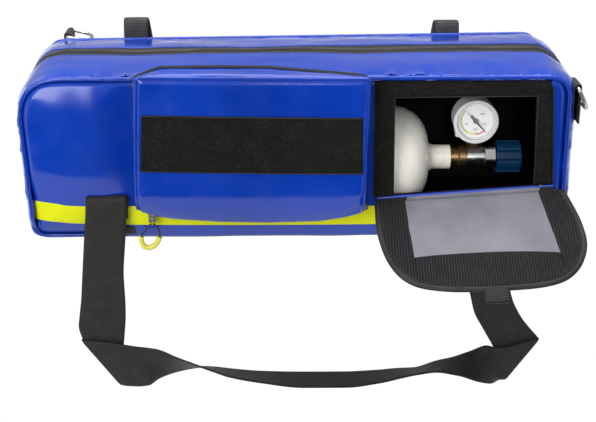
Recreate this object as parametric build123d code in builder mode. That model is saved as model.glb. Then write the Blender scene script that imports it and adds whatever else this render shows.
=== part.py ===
from build123d import *
from math import cos, radians, sin, tan
import os

# Two-litre oxygen cylinder with valve and gauge, strapped in its carry bag.
#
# Row frame: the origin is the middle of the axis of the rail that the bag hangs from by its two
# rear loops. +X runs along the bag towards the valve, +Y towards the back, +Z up.
# Sizes inside this file are bag sizes: depth is behind the bag's front face and height is over its
# base. The helpers below turn them into the row frame.

os.makedirs("parts", exist_ok=True)

# Bag
LENGTH, DEPTH, HEIGHT = 514.0, 170.0, 156.0
LEFT, RIGHT = -LENGTH / 2, LENGTH / 2
RAIL_DEPTH, RAIL_HEIGHT = 178.25, 167.0      # rail axis behind the front face, above the base
FRONT, BASE = -RAIL_DEPTH, -RAIL_HEIGHT
CORNER_TL, CORNER_TR, CORNER_BL, CORNER_BR = 24.0, 18.0, 14.0, 45.0
SKIN, LINER, PIPING = 1.5, 3.0, 2.4
BASE_LIP = 1.0                               # upright edge of the base panel, under each end panel
END_BULGE = 4.5
END_HALF = DEPTH / 2 - PIPING
END_R = (END_HALF ** 2 + END_BULGE ** 2) / (2 * END_BULGE)
END_TOP = HEIGHT - 4.0
END_DEPTHS = (PIPING, DEPTH - PIPING)
WEB, WEB_T = 25.0, 2.0                       # narrow webbing: width and thickness

# Top: two leaves either side of the main zip, crowned
LEAF_EDGE, LEAF_T, CROWN = 5.0, 3.0, 8.0
ZIP_HALF, ZIP_GAP = 12.0, 0.3
CROWN_HALF = DEPTH / 2 - 3.0
CROWN_R = (CROWN_HALF ** 2 + CROWN ** 2) / (2 * CROWN)
TOP_HALF_LENGTH = LENGTH / 2 + END_BULGE

# Valve window in the front, and its flap
WINDOW_X = (93.0, 229.0)
WINDOW_LOW, WINDOW_TOP = 41.0, 139.5         # the lower edge rises from here along the hinge
FRAME_X = (76.0, 247.0)
FRAME_TOP, FRAME_T = 153.0, 1.3
HINGE_X, HINGE_DEPTH, HINGE_HEIGHT = 78.0, -4.7, 36.0
HINGE_TILT, FLAP_DROOP = 4.0, 30.0
FLAP_T = 2.0

# Front pocket
POCKET_X = (-150.0, 66.0)
POCKET_Z = (30.0, 165.0)
POCKET_DEPTH, POCKET_WALL = 31.0, 3.0
POCKET_BACK = 3.5
POCKET_CORNER, POCKET_CORNER_BL = 8.0, 24.0
PULL_X, PULL_Z, PULL_DEPTH = -138.0, 19.0, -9.0

# Carry strap
STRAP_W, STRAP_T = 40.0, 3.0
STRAP_DEPTH, STRAP_TOP = -8.0, 30.0

# Cylinder and valve, on one axis along X
AXIS_DEPTH, AXIS_HEIGHT = 63.0, 58.0
CYL_R, CYL_WALL, CYL_X = 51.0, 3.5, (-225.0, 98.0)
NECK_R, NECK_X, SHOULDER_X = 12.2, 155.0, 132.0
INLET_R = 8.0
NECK_FILLET = 7.0
COLLAR_X, BODY_X, BONNET_X, KNOB_X = (163.0, 171.0), (171.0, 190.0), (190.0, 200.0), (201.5, 226.0)
VALVE_R, KNOB_R, SPINDLE_R, RUNNING = 11.5, 16.0, 3.5, 0.05

# Contents gauge
GAUGE_X, GAUGE_HEIGHT, GAUGE_DEPTH = 178.0, 98.6, 48.5
GAUGE_R, CASE_R, CASE_BACK = 22.2, 21.6, 73.0

# D-rings
RING_WIRE, RING_HALF, RING_REACH = 2.0, 16.0, 24.0
RIGHT_RING = (264.2, 16.0, 146.0)
LEFT_RING = (-239.0, 191.0, 154.0)


def row_y(depth):
    """Row-frame Y of a depth behind the front face."""
    return FRONT + depth


def row_z(height):
    """Row-frame Z of a height over the base."""
    return BASE + height


def point(x, depth, height):
    """Row-frame point from bag sizes."""
    return (x, row_y(depth), row_z(height))


def face_plane(depth):
    """Plane facing the front at a depth: its x is +X and its y is height over the base."""
    return Plane(origin=point(0, depth, 0), x_dir=(1, 0, 0), z_dir=(0, -1, 0))


def end_plane(x):
    """Plane across the bag at x: its x is depth and its y is height over the base."""
    return Plane(origin=point(x, 0, 0), x_dir=(0, 1, 0), z_dir=(1, 0, 0))


def floor_plane(height):
    """Level plane at a height: its x is +X and its y is depth."""
    return Plane(origin=point(0, 0, height), x_dir=(1, 0, 0), z_dir=(0, 0, 1))


def axis_plane(x):
    """Plane across the cylinder's axis at x, with +X as its normal."""
    return Plane(origin=point(x, AXIS_DEPTH, AXIS_HEIGHT), x_dir=(0, 1, 0), z_dir=(1, 0, 0))


def gauge_plane(depth):
    """Plane across the gauge's axis at a depth, with +Y as its normal."""
    return Plane(origin=point(GAUGE_X, depth, GAUGE_HEIGHT), x_dir=(-1, 0, 0), z_dir=(0, 1, 0))


def slab(x, depth, height):
    """Box between low and high values of x, depth and height."""
    with Locations(point(sum(x) / 2, sum(depth) / 2, sum(height) / 2)):
        Box(x[1] - x[0], depth[1] - depth[0], height[1] - height[0])


def rod(plane, radius, length, bore=0.0):
    """Round bar, or tube, that stands on a plane."""
    with BuildSketch(plane) as section:
        Circle(radius)
        if bore:
            Circle(bore, mode=Mode.SUBTRACT)
    extrude(section.sketch, amount=length)


def closed_outline(corners, radii, mode=Mode.ADD):
    """Filled outline with a radius at each corner."""
    with BuildLine() as edge:
        FilletPolyline(*corners, radius=radii, close=True)
    make_face(edge.edges(), mode=mode)


def bag_outline(inset, mode=Mode.ADD):
    """Front view of the bag: a long box whose lower right corner is lifted."""
    corners = [
        (LEFT + inset, inset),
        (RIGHT - inset, inset),
        (RIGHT - inset, HEIGHT - inset),
        (LEFT + inset, HEIGHT - inset),
    ]
    radii = [r - inset for r in (CORNER_BL, CORNER_BR, CORNER_TR, CORNER_TL)]
    closed_outline(corners, radii, mode)


def window_opening():
    """Opening over the valve: its lower edge is parallel with the flap's hinge."""
    rise = (WINDOW_X[1] - WINDOW_X[0]) * tan(radians(HINGE_TILT))
    corners = [
        (WINDOW_X[0], WINDOW_LOW),
        (WINDOW_X[1], WINDOW_LOW + rise),
        (WINDOW_X[1], WINDOW_TOP),
        (WINDOW_X[0], WINDOW_TOP),
    ]
    closed_outline(corners, 2.0, Mode.SUBTRACT)


def base_band(outer, thickness):
    """Band along the base that turns up at both ends, seen from the front."""
    def corners(inset):
        return [
            (LEFT + inset, CORNER_BL + BASE_LIP),
            (LEFT + inset, inset),
            (RIGHT - inset, inset),
            (RIGHT - inset, CORNER_BR + BASE_LIP),
        ]
    inner = outer + thickness
    with BuildLine() as edge:
        low = FilletPolyline(*corners(outer), radius=[CORNER_BL - outer, CORNER_BR - outer])
        high = FilletPolyline(*corners(inner), radius=[CORNER_BL - inner, CORNER_BR - inner])
        Line(low @ 0, high @ 0)
        Line(low @ 1, high @ 1)
    make_face(edge.edges())


def bowed_end(side, inner, outer, depths, heights):
    """Upright band that follows an end panel's bulge. side is -1 at the left end, 1 at the right."""
    centre_x = side * (RIGHT + END_BULGE - END_R)
    edge_x = side * RIGHT
    with BuildSketch(floor_plane(heights[0])) as section:
        with Locations((centre_x, DEPTH / 2)):
            Circle(END_R + outer)
            Circle(END_R + inner, mode=Mode.SUBTRACT)
        with Locations((edge_x, sum(depths) / 2)):
            Rectangle(8 * END_BULGE, depths[1] - depths[0], mode=Mode.INTERSECT)
    extrude(section.sketch, amount=heights[1] - heights[0])


def crowned_top(depths, below, above):
    """Band of the crowned top between two depths, from below to above its outer surface.

    Its ends follow the bulge of the end panels.
    """
    with BuildSketch(end_plane(-TOP_HALF_LENGTH)) as section:
        with Locations((DEPTH / 2, HEIGHT + CROWN - CROWN_R)):
            Circle(CROWN_R + above)
            Circle(CROWN_R - below, mode=Mode.SUBTRACT)
        with Locations((sum(depths) / 2, HEIGHT)):
            Rectangle(depths[1] - depths[0], 4 * CROWN, mode=Mode.INTERSECT)
    extrude(section.sketch, amount=2 * TOP_HALF_LENGTH)
    for side in (-1, 1):
        with BuildSketch(floor_plane(0)) as plan:
            with Locations((side * (RIGHT + END_BULGE - END_R), DEPTH / 2)):
                Circle(END_R)
            with Locations((-side * LENGTH, DEPTH / 2)):
                Rectangle(2 * LENGTH, 2 * DEPTH)
        extrude(plan.sketch, amount=2 * HEIGHT, mode=Mode.INTERSECT)


def under_crown(clearance):
    """Cut the part at hand to what lies under the crowned top."""
    with BuildSketch(end_plane(-LENGTH)) as section:
        with Locations((DEPTH / 2, HEIGHT + CROWN - CROWN_R)):
            Circle(CROWN_R - LEAF_T - clearance)
    extrude(section.sketch, amount=2 * LENGTH, mode=Mode.INTERSECT)


def export(part, name):
    """Label a finished piece and write its STEP file."""
    part.label = name
    export_step(part, f"parts/{name}.step")


# ---------------------------------------------------------------- bag walls

with BuildPart() as front_panel:
    with BuildSketch(face_plane(SKIN)):
        bag_outline(PIPING)
        window_opening()
    extrude(amount=SKIN)
export(front_panel.part, "front_panel")

with BuildPart() as rear_panel:
    with BuildSketch(face_plane(DEPTH)):
        bag_outline(PIPING)
    extrude(amount=SKIN)
export(rear_panel.part, "rear_panel")

with BuildPart() as base_panel:
    with BuildSketch(face_plane(DEPTH - PIPING)):
        base_band(0.0, SKIN)
    extrude(amount=DEPTH - 2 * PIPING)
export(base_panel.part, "base_panel")

with BuildPart() as left_end_panel:
    bowed_end(-1, -SKIN, 0, END_DEPTHS, (CORNER_BL + BASE_LIP, HEIGHT + CROWN))
    under_crown(2.0)
export(left_end_panel.part, "left_end_panel")

with BuildPart() as right_end_panel:
    bowed_end(1, -SKIN, 0, END_DEPTHS, (CORNER_BR + BASE_LIP, HEIGHT + CROWN))
    under_crown(2.0)
export(right_end_panel.part, "right_end_panel")

with BuildPart() as front_liner:
    with BuildSketch(face_plane(SKIN + LINER)):
        bag_outline(3 * PIPING)
        window_opening()
    extrude(amount=LINER)
export(front_liner.part, "front_liner")

with BuildPart() as rear_liner:
    with BuildSketch(face_plane(DEPTH - SKIN)):
        bag_outline(3 * PIPING)
    extrude(amount=LINER)
export(rear_liner.part, "rear_liner")

LINER_DEPTHS = (SKIN + LINER + 0.5, DEPTH - SKIN - LINER - 0.5)
with BuildPart() as base_liner:
    with BuildSketch(face_plane(LINER_DEPTHS[1])):
        base_band(SKIN, LINER)
    extrude(amount=LINER_DEPTHS[1] - LINER_DEPTHS[0])
export(base_liner.part, "base_liner")

with BuildPart() as left_end_liner:
    bowed_end(-1, -SKIN - LINER, -SKIN, LINER_DEPTHS, (CORNER_BL + 2, HEIGHT + CROWN))
    under_crown(3.0)
export(left_end_liner.part, "left_end_liner")

with BuildPart() as right_end_liner:
    bowed_end(1, -SKIN - LINER, -SKIN, LINER_DEPTHS, (CORNER_BR + 2, HEIGHT + CROWN))
    under_crown(3.0)
export(right_end_liner.part, "right_end_liner")

# Piping round the front and the rear outline, as two rings
with BuildPart() as seam_piping:
    for depth in (PIPING, DEPTH + 0.5):
        with BuildSketch(face_plane(depth)):
            bag_outline(0.0)
            bag_outline(PIPING, Mode.SUBTRACT)
        extrude(amount=PIPING + 0.5)
export(seam_piping.part, "seam_piping")

STRIPE_LOW = [(-252.0, 16.5), (-201.0, 12.4), (73.0, 10.4), (180.0, 13.0), (232.0, 26.0)]
STRIPE_W = 20.0
with BuildPart() as reflective_stripe:
    with BuildSketch(face_plane(0)):
        with BuildLine():
            Polyline(*STRIPE_LOW, *[(x, z + STRIPE_W) for x, z in reversed(STRIPE_LOW)], close=True)
        make_face()
    extrude(amount=0.5)
export(reflective_stripe.part, "reflective_stripe")

with BuildPart() as window_frame_tape:
    rise = (FRAME_X[1] - FRAME_X[0]) * tan(radians(HINGE_TILT))
    with BuildSketch(face_plane(0)):
        tape_low = HINGE_HEIGHT + 1.0
        corners = [
            (FRAME_X[0], tape_low),
            (FRAME_X[1], tape_low + rise),
            (FRAME_X[1], FRAME_TOP),
            (FRAME_X[0], FRAME_TOP),
        ]
        closed_outline(corners, [1.5, 1.5, CORNER_TR, 1.5])
        window_opening()
    extrude(amount=FRAME_T)
export(window_frame_tape.part, "window_frame_tape")

# ---------------------------------------------------------------- webbing that carries the bag


def upright_loop(plane, half_gap, low, top):
    """Webbing loop seen end on: two legs, rounded over at the top and closed at the bottom."""
    outer = half_gap + WEB_T
    with BuildSketch(plane) as section:
        closed_outline([(-outer, low), (outer, low), (outer, top), (-outer, top)],
                       [1.0, 1.0, outer - 1.0, outer - 1.0])
        closed_outline([(-half_gap, low + 5), (half_gap, low + 5), (half_gap, top - WEB_T),
                        (-half_gap, top - WEB_T)],
                       [1.0, 1.0, half_gap - 1.0, half_gap - 1.0], Mode.SUBTRACT)
    extrude(section.sketch, amount=WEB)


LOOP_HALF, LOOP_LOW, LOOP_TOP = 5.75, 118.0, 175.0
for name, low_x in (("left_rail_loop", -179.0), ("right_rail_loop", 151.0)):
    with BuildPart() as rail_loop:
        upright_loop(Plane(origin=point(low_x, RAIL_DEPTH, 0), x_dir=(0, 1, 0), z_dir=(1, 0, 0)),
                     LOOP_HALF, LOOP_LOW, LOOP_TOP)
    export(rail_loop.part, name)

TAB_HALF = RING_WIRE + 0.4
RING_TABS = (("left_ring_tab", LEFT_RING, 20.0), ("right_ring_tab", RIGHT_RING, 36.0))
for name, (ring_x, ring_depth, ring_height), drop in RING_TABS:
    with BuildPart() as ring_tab:
        upright_loop(Plane(origin=point(ring_x, ring_depth + WEB / 2, 0), x_dir=(1, 0, 0),
                           z_dir=(0, -1, 0)),
                     TAB_HALF, ring_height - drop, ring_height + TAB_HALF + WEB_T)
        if name == "left_ring_tab":
            slab((ring_x - TAB_HALF - WEB_T, ring_x + TAB_HALF + WEB_T),
                 (DEPTH + 0.6, ring_depth - WEB / 2), (ring_height - drop, ring_height - drop + 5))
    export(ring_tab.part, name)


def d_ring(centre, lean):
    """D-ring of round wire: a straight bar along Y and a bow that leans lean degrees below +X."""
    bow = Plane(origin=point(*centre), x_dir=(cos(radians(lean)), 0, -sin(radians(lean))),
                z_dir=(sin(radians(lean)), 0, cos(radians(lean))))
    with BuildLine(bow) as wire:
        FilletPolyline((0, RING_HALF), (RING_REACH, RING_HALF), (RING_REACH, -RING_HALF),
                       (0, -RING_HALF), radius=[3.0, 13.0, 13.0, 3.0], close=True)
    with BuildSketch(Plane(origin=wire.line @ 0, z_dir=wire.line % 0)) as section:
        Circle(RING_WIRE)
    sweep(section.sketch, path=wire.line)


with BuildPart() as left_d_ring:
    d_ring(LEFT_RING, 12.0)
export(left_d_ring.part, "left_d_ring")

with BuildPart() as right_d_ring:
    d_ring(RIGHT_RING, 64.0)
export(right_d_ring.part, "right_d_ring")

# ---------------------------------------------------------------- main zip and the top leaves

ZIP_DEPTHS = (DEPTH / 2 - ZIP_HALF, DEPTH / 2 + ZIP_HALF)
for name, side in (("left_zip_end", -1), ("right_zip_end", 1)):
    with BuildPart() as zip_end:
        bowed_end(side, 0.1, 1.5, ZIP_DEPTHS, (96.0, END_TOP))
    export(zip_end.part, name)

LEAVES = (
    ("front", (LEAF_EDGE, ZIP_DEPTHS[0]), (ZIP_DEPTHS[0], DEPTH / 2 - ZIP_GAP)),
    ("rear", (ZIP_DEPTHS[1], DEPTH - LEAF_EDGE), (DEPTH / 2 + ZIP_GAP, ZIP_DEPTHS[1])),
)
for side, panel_depths, zip_depths in LEAVES:
    with BuildPart() as top_panel:
        crowned_top(panel_depths, LEAF_T, 0.0)
    export(top_panel.part, f"top_{side}_panel")
    with BuildPart() as top_zip:
        crowned_top(zip_depths, 2.0, 0.4)
    export(top_zip.part, f"top_{side}_zip")

# Slider of the main zip, low on the left zip end. Its pull turns on a headed peg.
SLIDER_X = LEFT - END_BULGE - 2.0
SLIDER_T, SLIDER_LOW, SLIDER_TALL = 2.4, 98.0, 12.0
PEG_R, PEG_LENGTH, PEG_HEIGHT = 1.2, 2.0, SLIDER_LOW + 6.0
PULL_GAP, PULL_T = 0.4, 1.2


def outward_plane(x):
    """Plane at x on the peg's axis that faces away from the bag's left end."""
    return Plane(origin=point(x, DEPTH / 2, PEG_HEIGHT), x_dir=(0, -1, 0), z_dir=(-1, 0, 0))


with BuildPart() as main_zip_slider:
    slab((SLIDER_X - SLIDER_T, SLIDER_X), (DEPTH / 2 - 4, DEPTH / 2 + 4),
         (SLIDER_LOW, SLIDER_LOW + SLIDER_TALL))
    rod(outward_plane(SLIDER_X - SLIDER_T), PEG_R, PEG_LENGTH)
    rod(outward_plane(SLIDER_X - SLIDER_T - PEG_LENGTH), PEG_R + 1.0, 0.6)
export(main_zip_slider.part, "main_zip_slider")

with BuildPart() as main_zip_pull:
    with BuildSketch(outward_plane(SLIDER_X - SLIDER_T - PULL_GAP)):
        with Locations((0, -12)):
            RectangleRounded(7, 31, 2)
        Circle(PEG_R + RUNNING, mode=Mode.SUBTRACT)
        with Locations((0, -24)):
            Circle(1.5, mode=Mode.SUBTRACT)
    extrude(amount=PULL_T)
export(main_zip_pull.part, "main_zip_pull")

# ---------------------------------------------------------------- window flap, hanging open

tilt, droop = radians(HINGE_TILT), radians(FLAP_DROOP)
hinge_dir = Vector(cos(tilt), 0, sin(tilt))
hang = Vector(0, -cos(droop), -sin(droop))
hang = (hang - hinge_dir * hang.dot(hinge_dir)).normalized()
inner_dir = hang.cross(hinge_dir)
FLAP_ORIGIN = point(HINGE_X, HINGE_DEPTH, HINGE_HEIGHT)


def flap_plane(lift):
    """Plane in the flap at a lift towards its inner side: x along the hinge, -y down the flap."""
    return Plane(origin=Vector(*FLAP_ORIGIN) + inner_dir * lift, x_dir=hinge_dir, z_dir=inner_dir)


FLAP_POINTS = [(6, -1.5), (4.5, -45), (9, -95), (68, -111.5), (150, -112), (178, -104), (190, -55),
               (171.4, -1.5)]
FLAP_RADII = [0.5, 60, 32, 80, 30, 26, 50, 0.5]
RIM = 5.0


def flap_outline(inset=0.0, mode=Mode.ADD):
    """Outline of the flap, or the same outline moved in from its edge."""
    with BuildLine() as edge:
        FilletPolyline(*FLAP_POINTS, radius=FLAP_RADII, close=True)
        if inset:
            offset(amount=-inset, mode=Mode.REPLACE)
    make_face(edge.edges(), mode=mode)


with BuildPart() as flap_panel:
    with BuildSketch(flap_plane(-FLAP_T / 2)):
        flap_outline(RIM - 2)
    extrude(amount=FLAP_T)
export(flap_panel.part, "flap_panel")

with BuildPart() as flap_window:
    with BuildSketch(flap_plane(FLAP_T / 2)):
        closed_outline([(26, -5), (28.8, -77), (162, -80), (154, -5)], 3.0)
    extrude(amount=0.8)
export(flap_window.part, "flap_window")

with BuildPart() as flap_hook_tape:
    with BuildSketch(flap_plane(FLAP_T / 2)):
        flap_outline(RIM)
        closed_outline([(25.8, 0), (28.6, -77.2), (162.4, -80.2), (154.4, 0)], 2.5, Mode.SUBTRACT)
        with Locations((90, -1)):
            Rectangle(126, 10, mode=Mode.SUBTRACT)
    extrude(amount=0.7)
export(flap_hook_tape.part, "flap_hook_tape")

with BuildPart() as flap_binding:
    with BuildSketch(flap_plane(-1.7)):
        flap_outline()
        flap_outline(RIM - 2, Mode.SUBTRACT)
        with Locations((90, 0)):
            Rectangle(220, 9, mode=Mode.SUBTRACT)
    extrude(amount=3.4)
export(flap_binding.part, "flap_binding")

with BuildPart() as flap_pull_tab:
    with BuildSketch(flap_plane(-0.8)):
        with Locations((95.5, -118.2)):
            Rectangle(22, 11)
    extrude(amount=1.6)
export(flap_pull_tab.part, "flap_pull_tab")

# ---------------------------------------------------------------- front pocket

POCKET_RADII = [POCKET_CORNER_BL, POCKET_CORNER, POCKET_CORNER, POCKET_CORNER]


def pocket_outline(grow=0.0, mode=Mode.ADD):
    """Pocket seen from the front, with its lower left corner well rounded for the zip."""
    corners = [
        (POCKET_X[0] - grow, POCKET_Z[0] - grow),
        (POCKET_X[1] + grow, POCKET_Z[0] - grow),
        (POCKET_X[1] + grow, POCKET_Z[1] + grow),
        (POCKET_X[0] - grow, POCKET_Z[1] + grow),
    ]
    closed_outline(corners, [r + grow for r in POCKET_RADII], mode)


def pocket_band(near, far, outer, inner):
    """Band round the left, top and right of the pocket between two depths."""
    with BuildSketch(face_plane(far)) as section:
        pocket_outline(outer)
        pocket_outline(-inner, Mode.SUBTRACT)
        with Locations((sum(POCKET_X) / 2 + POCKET_CORNER_BL, POCKET_Z[0])):
            Rectangle(POCKET_X[1] - POCKET_X[0] + 10, 8, mode=Mode.SUBTRACT)
    extrude(section.sketch, amount=far - near)


with BuildPart() as pocket_cover:
    with BuildSketch(face_plane(-POCKET_BACK)):
        pocket_outline()
    extrude(amount=POCKET_DEPTH - POCKET_BACK)
    with BuildSketch(face_plane(-POCKET_BACK)):
        pocket_outline(-POCKET_WALL)
        with Locations((sum(POCKET_X) / 2 + POCKET_CORNER_BL / 2, POCKET_Z[0] + 1)):
            Rectangle(POCKET_X[1] - POCKET_X[0] - 2 * POCKET_CORNER_BL, 8)
    extrude(amount=POCKET_DEPTH - POCKET_BACK - POCKET_WALL, mode=Mode.SUBTRACT)
export(pocket_cover.part, "pocket_cover")

with BuildPart() as pocket_zip:
    pocket_band(-9.0, -4.0, 1.2, -0.05)
export(pocket_zip.part, "pocket_zip")

with BuildPart() as pocket_zip_rim:
    pocket_band(-POCKET_BACK + 0.5, -0.7, 1.2, 2.0)
export(pocket_zip_rim.part, "pocket_zip_rim")

with BuildPart() as pocket_gusset:
    slab((-126, 62), (-29, -0.7), (23, 27.5))
export(pocket_gusset.part, "pocket_gusset")

LABEL_X, LABEL_Z = (-143.0, 61.0), (78.0, 132.0)
with BuildPart() as pocket_label_tape:
    slab(LABEL_X, (-POCKET_DEPTH - 1.3, -POCKET_DEPTH), LABEL_Z)
export(pocket_label_tape.part, "pocket_label_tape")

with BuildPart() as pocket_zip_slider:
    slab((PULL_X - 3.5, PULL_X + 3.5), (-8.5, -3.5), (PULL_Z - 1, PULL_Z + 9))
    slab((PULL_X - 1.5, PULL_X + 1.5), (-11, -8.5), (PULL_Z + 2, PULL_Z + 7))
export(pocket_zip_slider.part, "pocket_zip_slider")

# The pull hangs from the slider: a thin cord down both sides of a soft tube that it runs through
PULL_CORD_R, PULL_GRIP_R = 0.9, 2.6
PULL_ROUTE = [(PULL_X - 0.9, PULL_Z - 0.8), (PULL_X - 6.5, PULL_Z - 7), (PULL_X - 12.5, PULL_Z - 16),
              (PULL_X - 8.5, PULL_Z - 26.5), (PULL_X + 1.5, PULL_Z - 25), (PULL_X + 7.5, PULL_Z - 14),
              (PULL_X + 6, PULL_Z - 5), (PULL_X + 0.9, PULL_Z - 0.8)]


def pull_piece(route, radii, radius):
    """Round bar along part of the pull's route, in the upright plane of the pull."""
    with BuildLine(face_plane(PULL_DEPTH - 2.5)) as path:
        FilletPolyline(*route, radius=radii)
    with BuildSketch(Plane(origin=path.line @ 0, z_dir=path.line % 0)) as section:
        Circle(radius)
    sweep(section.sketch, path=path.line)


def arc_radii(route):
    """Largest tangent arcs that a route's runs allow at its inner points."""
    radii = []
    for before, here, after in zip(route, route[1:], route[2:]):
        arriving, leaving = Vector(*here) - Vector(*before), Vector(*after) - Vector(*here)
        turn = radians(arriving.get_angle(leaving))
        radii.append(0.45 * min(arriving.length, leaving.length) / tan(turn / 2))
    return radii


grip_start = ((PULL_ROUTE[1][0] + PULL_ROUTE[2][0]) / 2, (PULL_ROUTE[1][1] + PULL_ROUTE[2][1]) / 2)
grip_end = ((PULL_ROUTE[5][0] + PULL_ROUTE[6][0]) / 2, (PULL_ROUTE[5][1] + PULL_ROUTE[6][1]) / 2)
GRIP_ROUTE = [grip_start, *PULL_ROUTE[2:6], grip_end]
with BuildPart() as pocket_pull_grip:
    pull_piece(GRIP_ROUTE, arc_radii(GRIP_ROUTE), PULL_GRIP_R)
export(pocket_pull_grip.part, "pocket_pull_grip")

with BuildPart() as pocket_pull_cord:
    for route in ([*PULL_ROUTE[:2], grip_start], [grip_end, *PULL_ROUTE[6:]]):
        pull_piece(route, arc_radii(route), PULL_CORD_R)
export(pocket_pull_cord.part, "pocket_pull_cord")

# ---------------------------------------------------------------- carry strap

# Each leg is a flat plate that ends in the fold where the webbing turns to run level. The run
# lies flat between the two folds.
LEFT_LEG = [(-201.5, STRAP_TOP), (-161.5, STRAP_TOP), (-173.0, -107.0), (-133.0, -121.0),
            (-130.0, -148.0), (-177.0, -157.0), (-213.0, -107.0)]
RIGHT_LEG = [(142.0, STRAP_TOP), (182.0, STRAP_TOP), (219.0, -82.0), (242.0, -110.0),
             (211.0, -155.0), (170.0, -151.0), (170.0, -137.0), (189.0, -118.0)]
RUN = [(-150, -146), (-97, -138), (-58, -147), (25, -155), (65, -154), (121, -146), (145, -140),
       (190, -147)]

with BuildPart() as carry_strap:
    for leg in (LEFT_LEG, RIGHT_LEG):
        with BuildSketch(face_plane(STRAP_DEPTH + STRAP_T / 2)):
            with BuildLine():
                Polyline(*leg, close=True)
            make_face()
        extrude(amount=STRAP_T)
    with BuildSketch(face_plane(STRAP_DEPTH + STRAP_W / 2)):
        with BuildLine():
            Polyline(*RUN, *[(x, z + STRAP_T) for x, z in reversed(RUN)], close=True)
        make_face()
    extrude(amount=STRAP_W)
export(carry_strap.part, "carry_strap")

with BuildPart() as strap_anchors:
    for leg, rise in ((LEFT_LEG, 11.0), (RIGHT_LEG, 5.5)):
        slab((leg[0][0], leg[1][0]), (-2.6, -0.6), (STRAP_TOP + rise - 24, STRAP_TOP + rise))
export(strap_anchors.part, "strap_anchors")

# ---------------------------------------------------------------- cylinder and its valve

with BuildPart() as cylinder_body:
    shoulder_r = ((SHOULDER_X - CYL_X[1]) ** 2 + (CYL_R - NECK_R) ** 2) / (2 * (CYL_R - NECK_R))
    profile_plane = Plane(origin=point(0, AXIS_DEPTH, AXIS_HEIGHT), x_dir=(1, 0, 0), z_dir=(0, -1, 0))
    inner_r = CYL_R - CYL_WALL
    with BuildSketch(profile_plane) as profile:
        with BuildLine():
            FilletPolyline((CYL_X[0] + 6, 0), (CYL_X[0] + 6, 20), (CYL_X[0], 36), (CYL_X[0], CYL_R),
                           (CYL_X[1], CYL_R), radius=[12, 6, 12])
            RadiusArc((CYL_X[1], CYL_R), (SHOULDER_X, NECK_R), shoulder_r)
            Polyline((SHOULDER_X, NECK_R), (NECK_X, NECK_R), (NECK_X, INLET_R + RUNNING),
                     (SHOULDER_X - 4, INLET_R + RUNNING))
            RadiusArc((SHOULDER_X - 4, INLET_R + RUNNING), (CYL_X[1], inner_r),
                      -(shoulder_r - CYL_WALL) * 1.06)
            FilletPolyline((CYL_X[1], inner_r), (CYL_X[0] + 9, inner_r), (CYL_X[0] + 9, 36),
                           (CYL_X[0] + 14, 18), (CYL_X[0] + 14, 0), radius=[6, 4, 8])
            Line((CYL_X[0] + 14, 0), (CYL_X[0] + 6, 0))
        make_face()
        fillet(profile.vertices().sort_by_distance((SHOULDER_X, NECK_R))[0], NECK_FILLET)
    revolve(axis=Axis(point(0, AXIS_DEPTH, AXIS_HEIGHT), (1, 0, 0)))
export(cylinder_body.part, "cylinder_body")

with BuildPart() as cylinder_straps:
    for strap_x in (-150.0, 20.0):
        rod(axis_plane(strap_x - WEB / 2), CYL_R + 0.2 + SKIN, WEB, CYL_R + 0.2)
        slab((strap_x - WEB / 2 + 2, strap_x + WEB / 2 - 2), (AXIS_DEPTH - 15, AXIS_DEPTH + 15),
             (AXIS_HEIGHT + CYL_R + SKIN - 0.1, AXIS_HEIGHT + CYL_R + SKIN + 2.5))
export(cylinder_straps.part, "cylinder_straps")

with BuildPart() as valve_inlet:
    rod(axis_plane(SHOULDER_X - 2), INLET_R, COLLAR_X[1] - SHOULDER_X + 2, 2.5)
    rod(axis_plane(NECK_X), 10.5, COLLAR_X[0] - NECK_X, 2.5)
export(valve_inlet.part, "valve_inlet")

with BuildPart() as neck_collar:
    rod(axis_plane(COLLAR_X[0]), 12.0, COLLAR_X[1] - COLLAR_X[0], INLET_R + RUNNING)
    chamfer(neck_collar.edges().filter_by(GeomType.CIRCLE).sort_by(SortBy.RADIUS)[-2:], 1.0)
export(neck_collar.part, "neck_collar")

SEAT_X = 174.0
with BuildPart() as valve_body:
    rod(axis_plane(BODY_X[0]), VALVE_R, BODY_X[1] - BODY_X[0])
    chamfer(valve_body.edges().filter_by(GeomType.CIRCLE), 1.2)
    with BuildSketch(axis_plane(SEAT_X)):
        Circle(SPINDLE_R + RUNNING)
    extrude(amount=BODY_X[1] - SEAT_X, mode=Mode.SUBTRACT)
    with BuildSketch(axis_plane(BODY_X[0])):
        Circle(2.5)
    extrude(amount=SEAT_X - BODY_X[0], mode=Mode.SUBTRACT)
    with BuildSketch(floor_plane(AXIS_HEIGHT + 6)):
        with Locations((GAUGE_X, AXIS_DEPTH)):
            Circle(4.0)
    extrude(amount=10, mode=Mode.SUBTRACT)
    with BuildSketch(face_plane(AXIS_DEPTH + 30)):
        with Locations((GAUGE_X + 4, AXIS_HEIGHT)):
            Circle(5.0)
    extrude(amount=24, mode=Mode.SUBTRACT)
export(valve_body.part, "valve_body")

with BuildPart() as valve_seat:
    rod(axis_plane(SEAT_X + 0.1), SPINDLE_R, 3.6, 1.0)
export(valve_seat.part, "valve_seat")

with BuildPart() as bonnet_nut:
    with BuildSketch(axis_plane(BONNET_X[0])):
        RegularPolygon(11.0, 6, major_radius=False)
        Circle(SPINDLE_R + RUNNING, mode=Mode.SUBTRACT)
    extrude(amount=BONNET_X[1] - BONNET_X[0])
    with BuildSketch(axis_plane(BONNET_X[0])):
        Circle(12.1)
    extrude(amount=BONNET_X[1] - BONNET_X[0], mode=Mode.INTERSECT)
export(bonnet_nut.part, "bonnet_nut")

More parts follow.
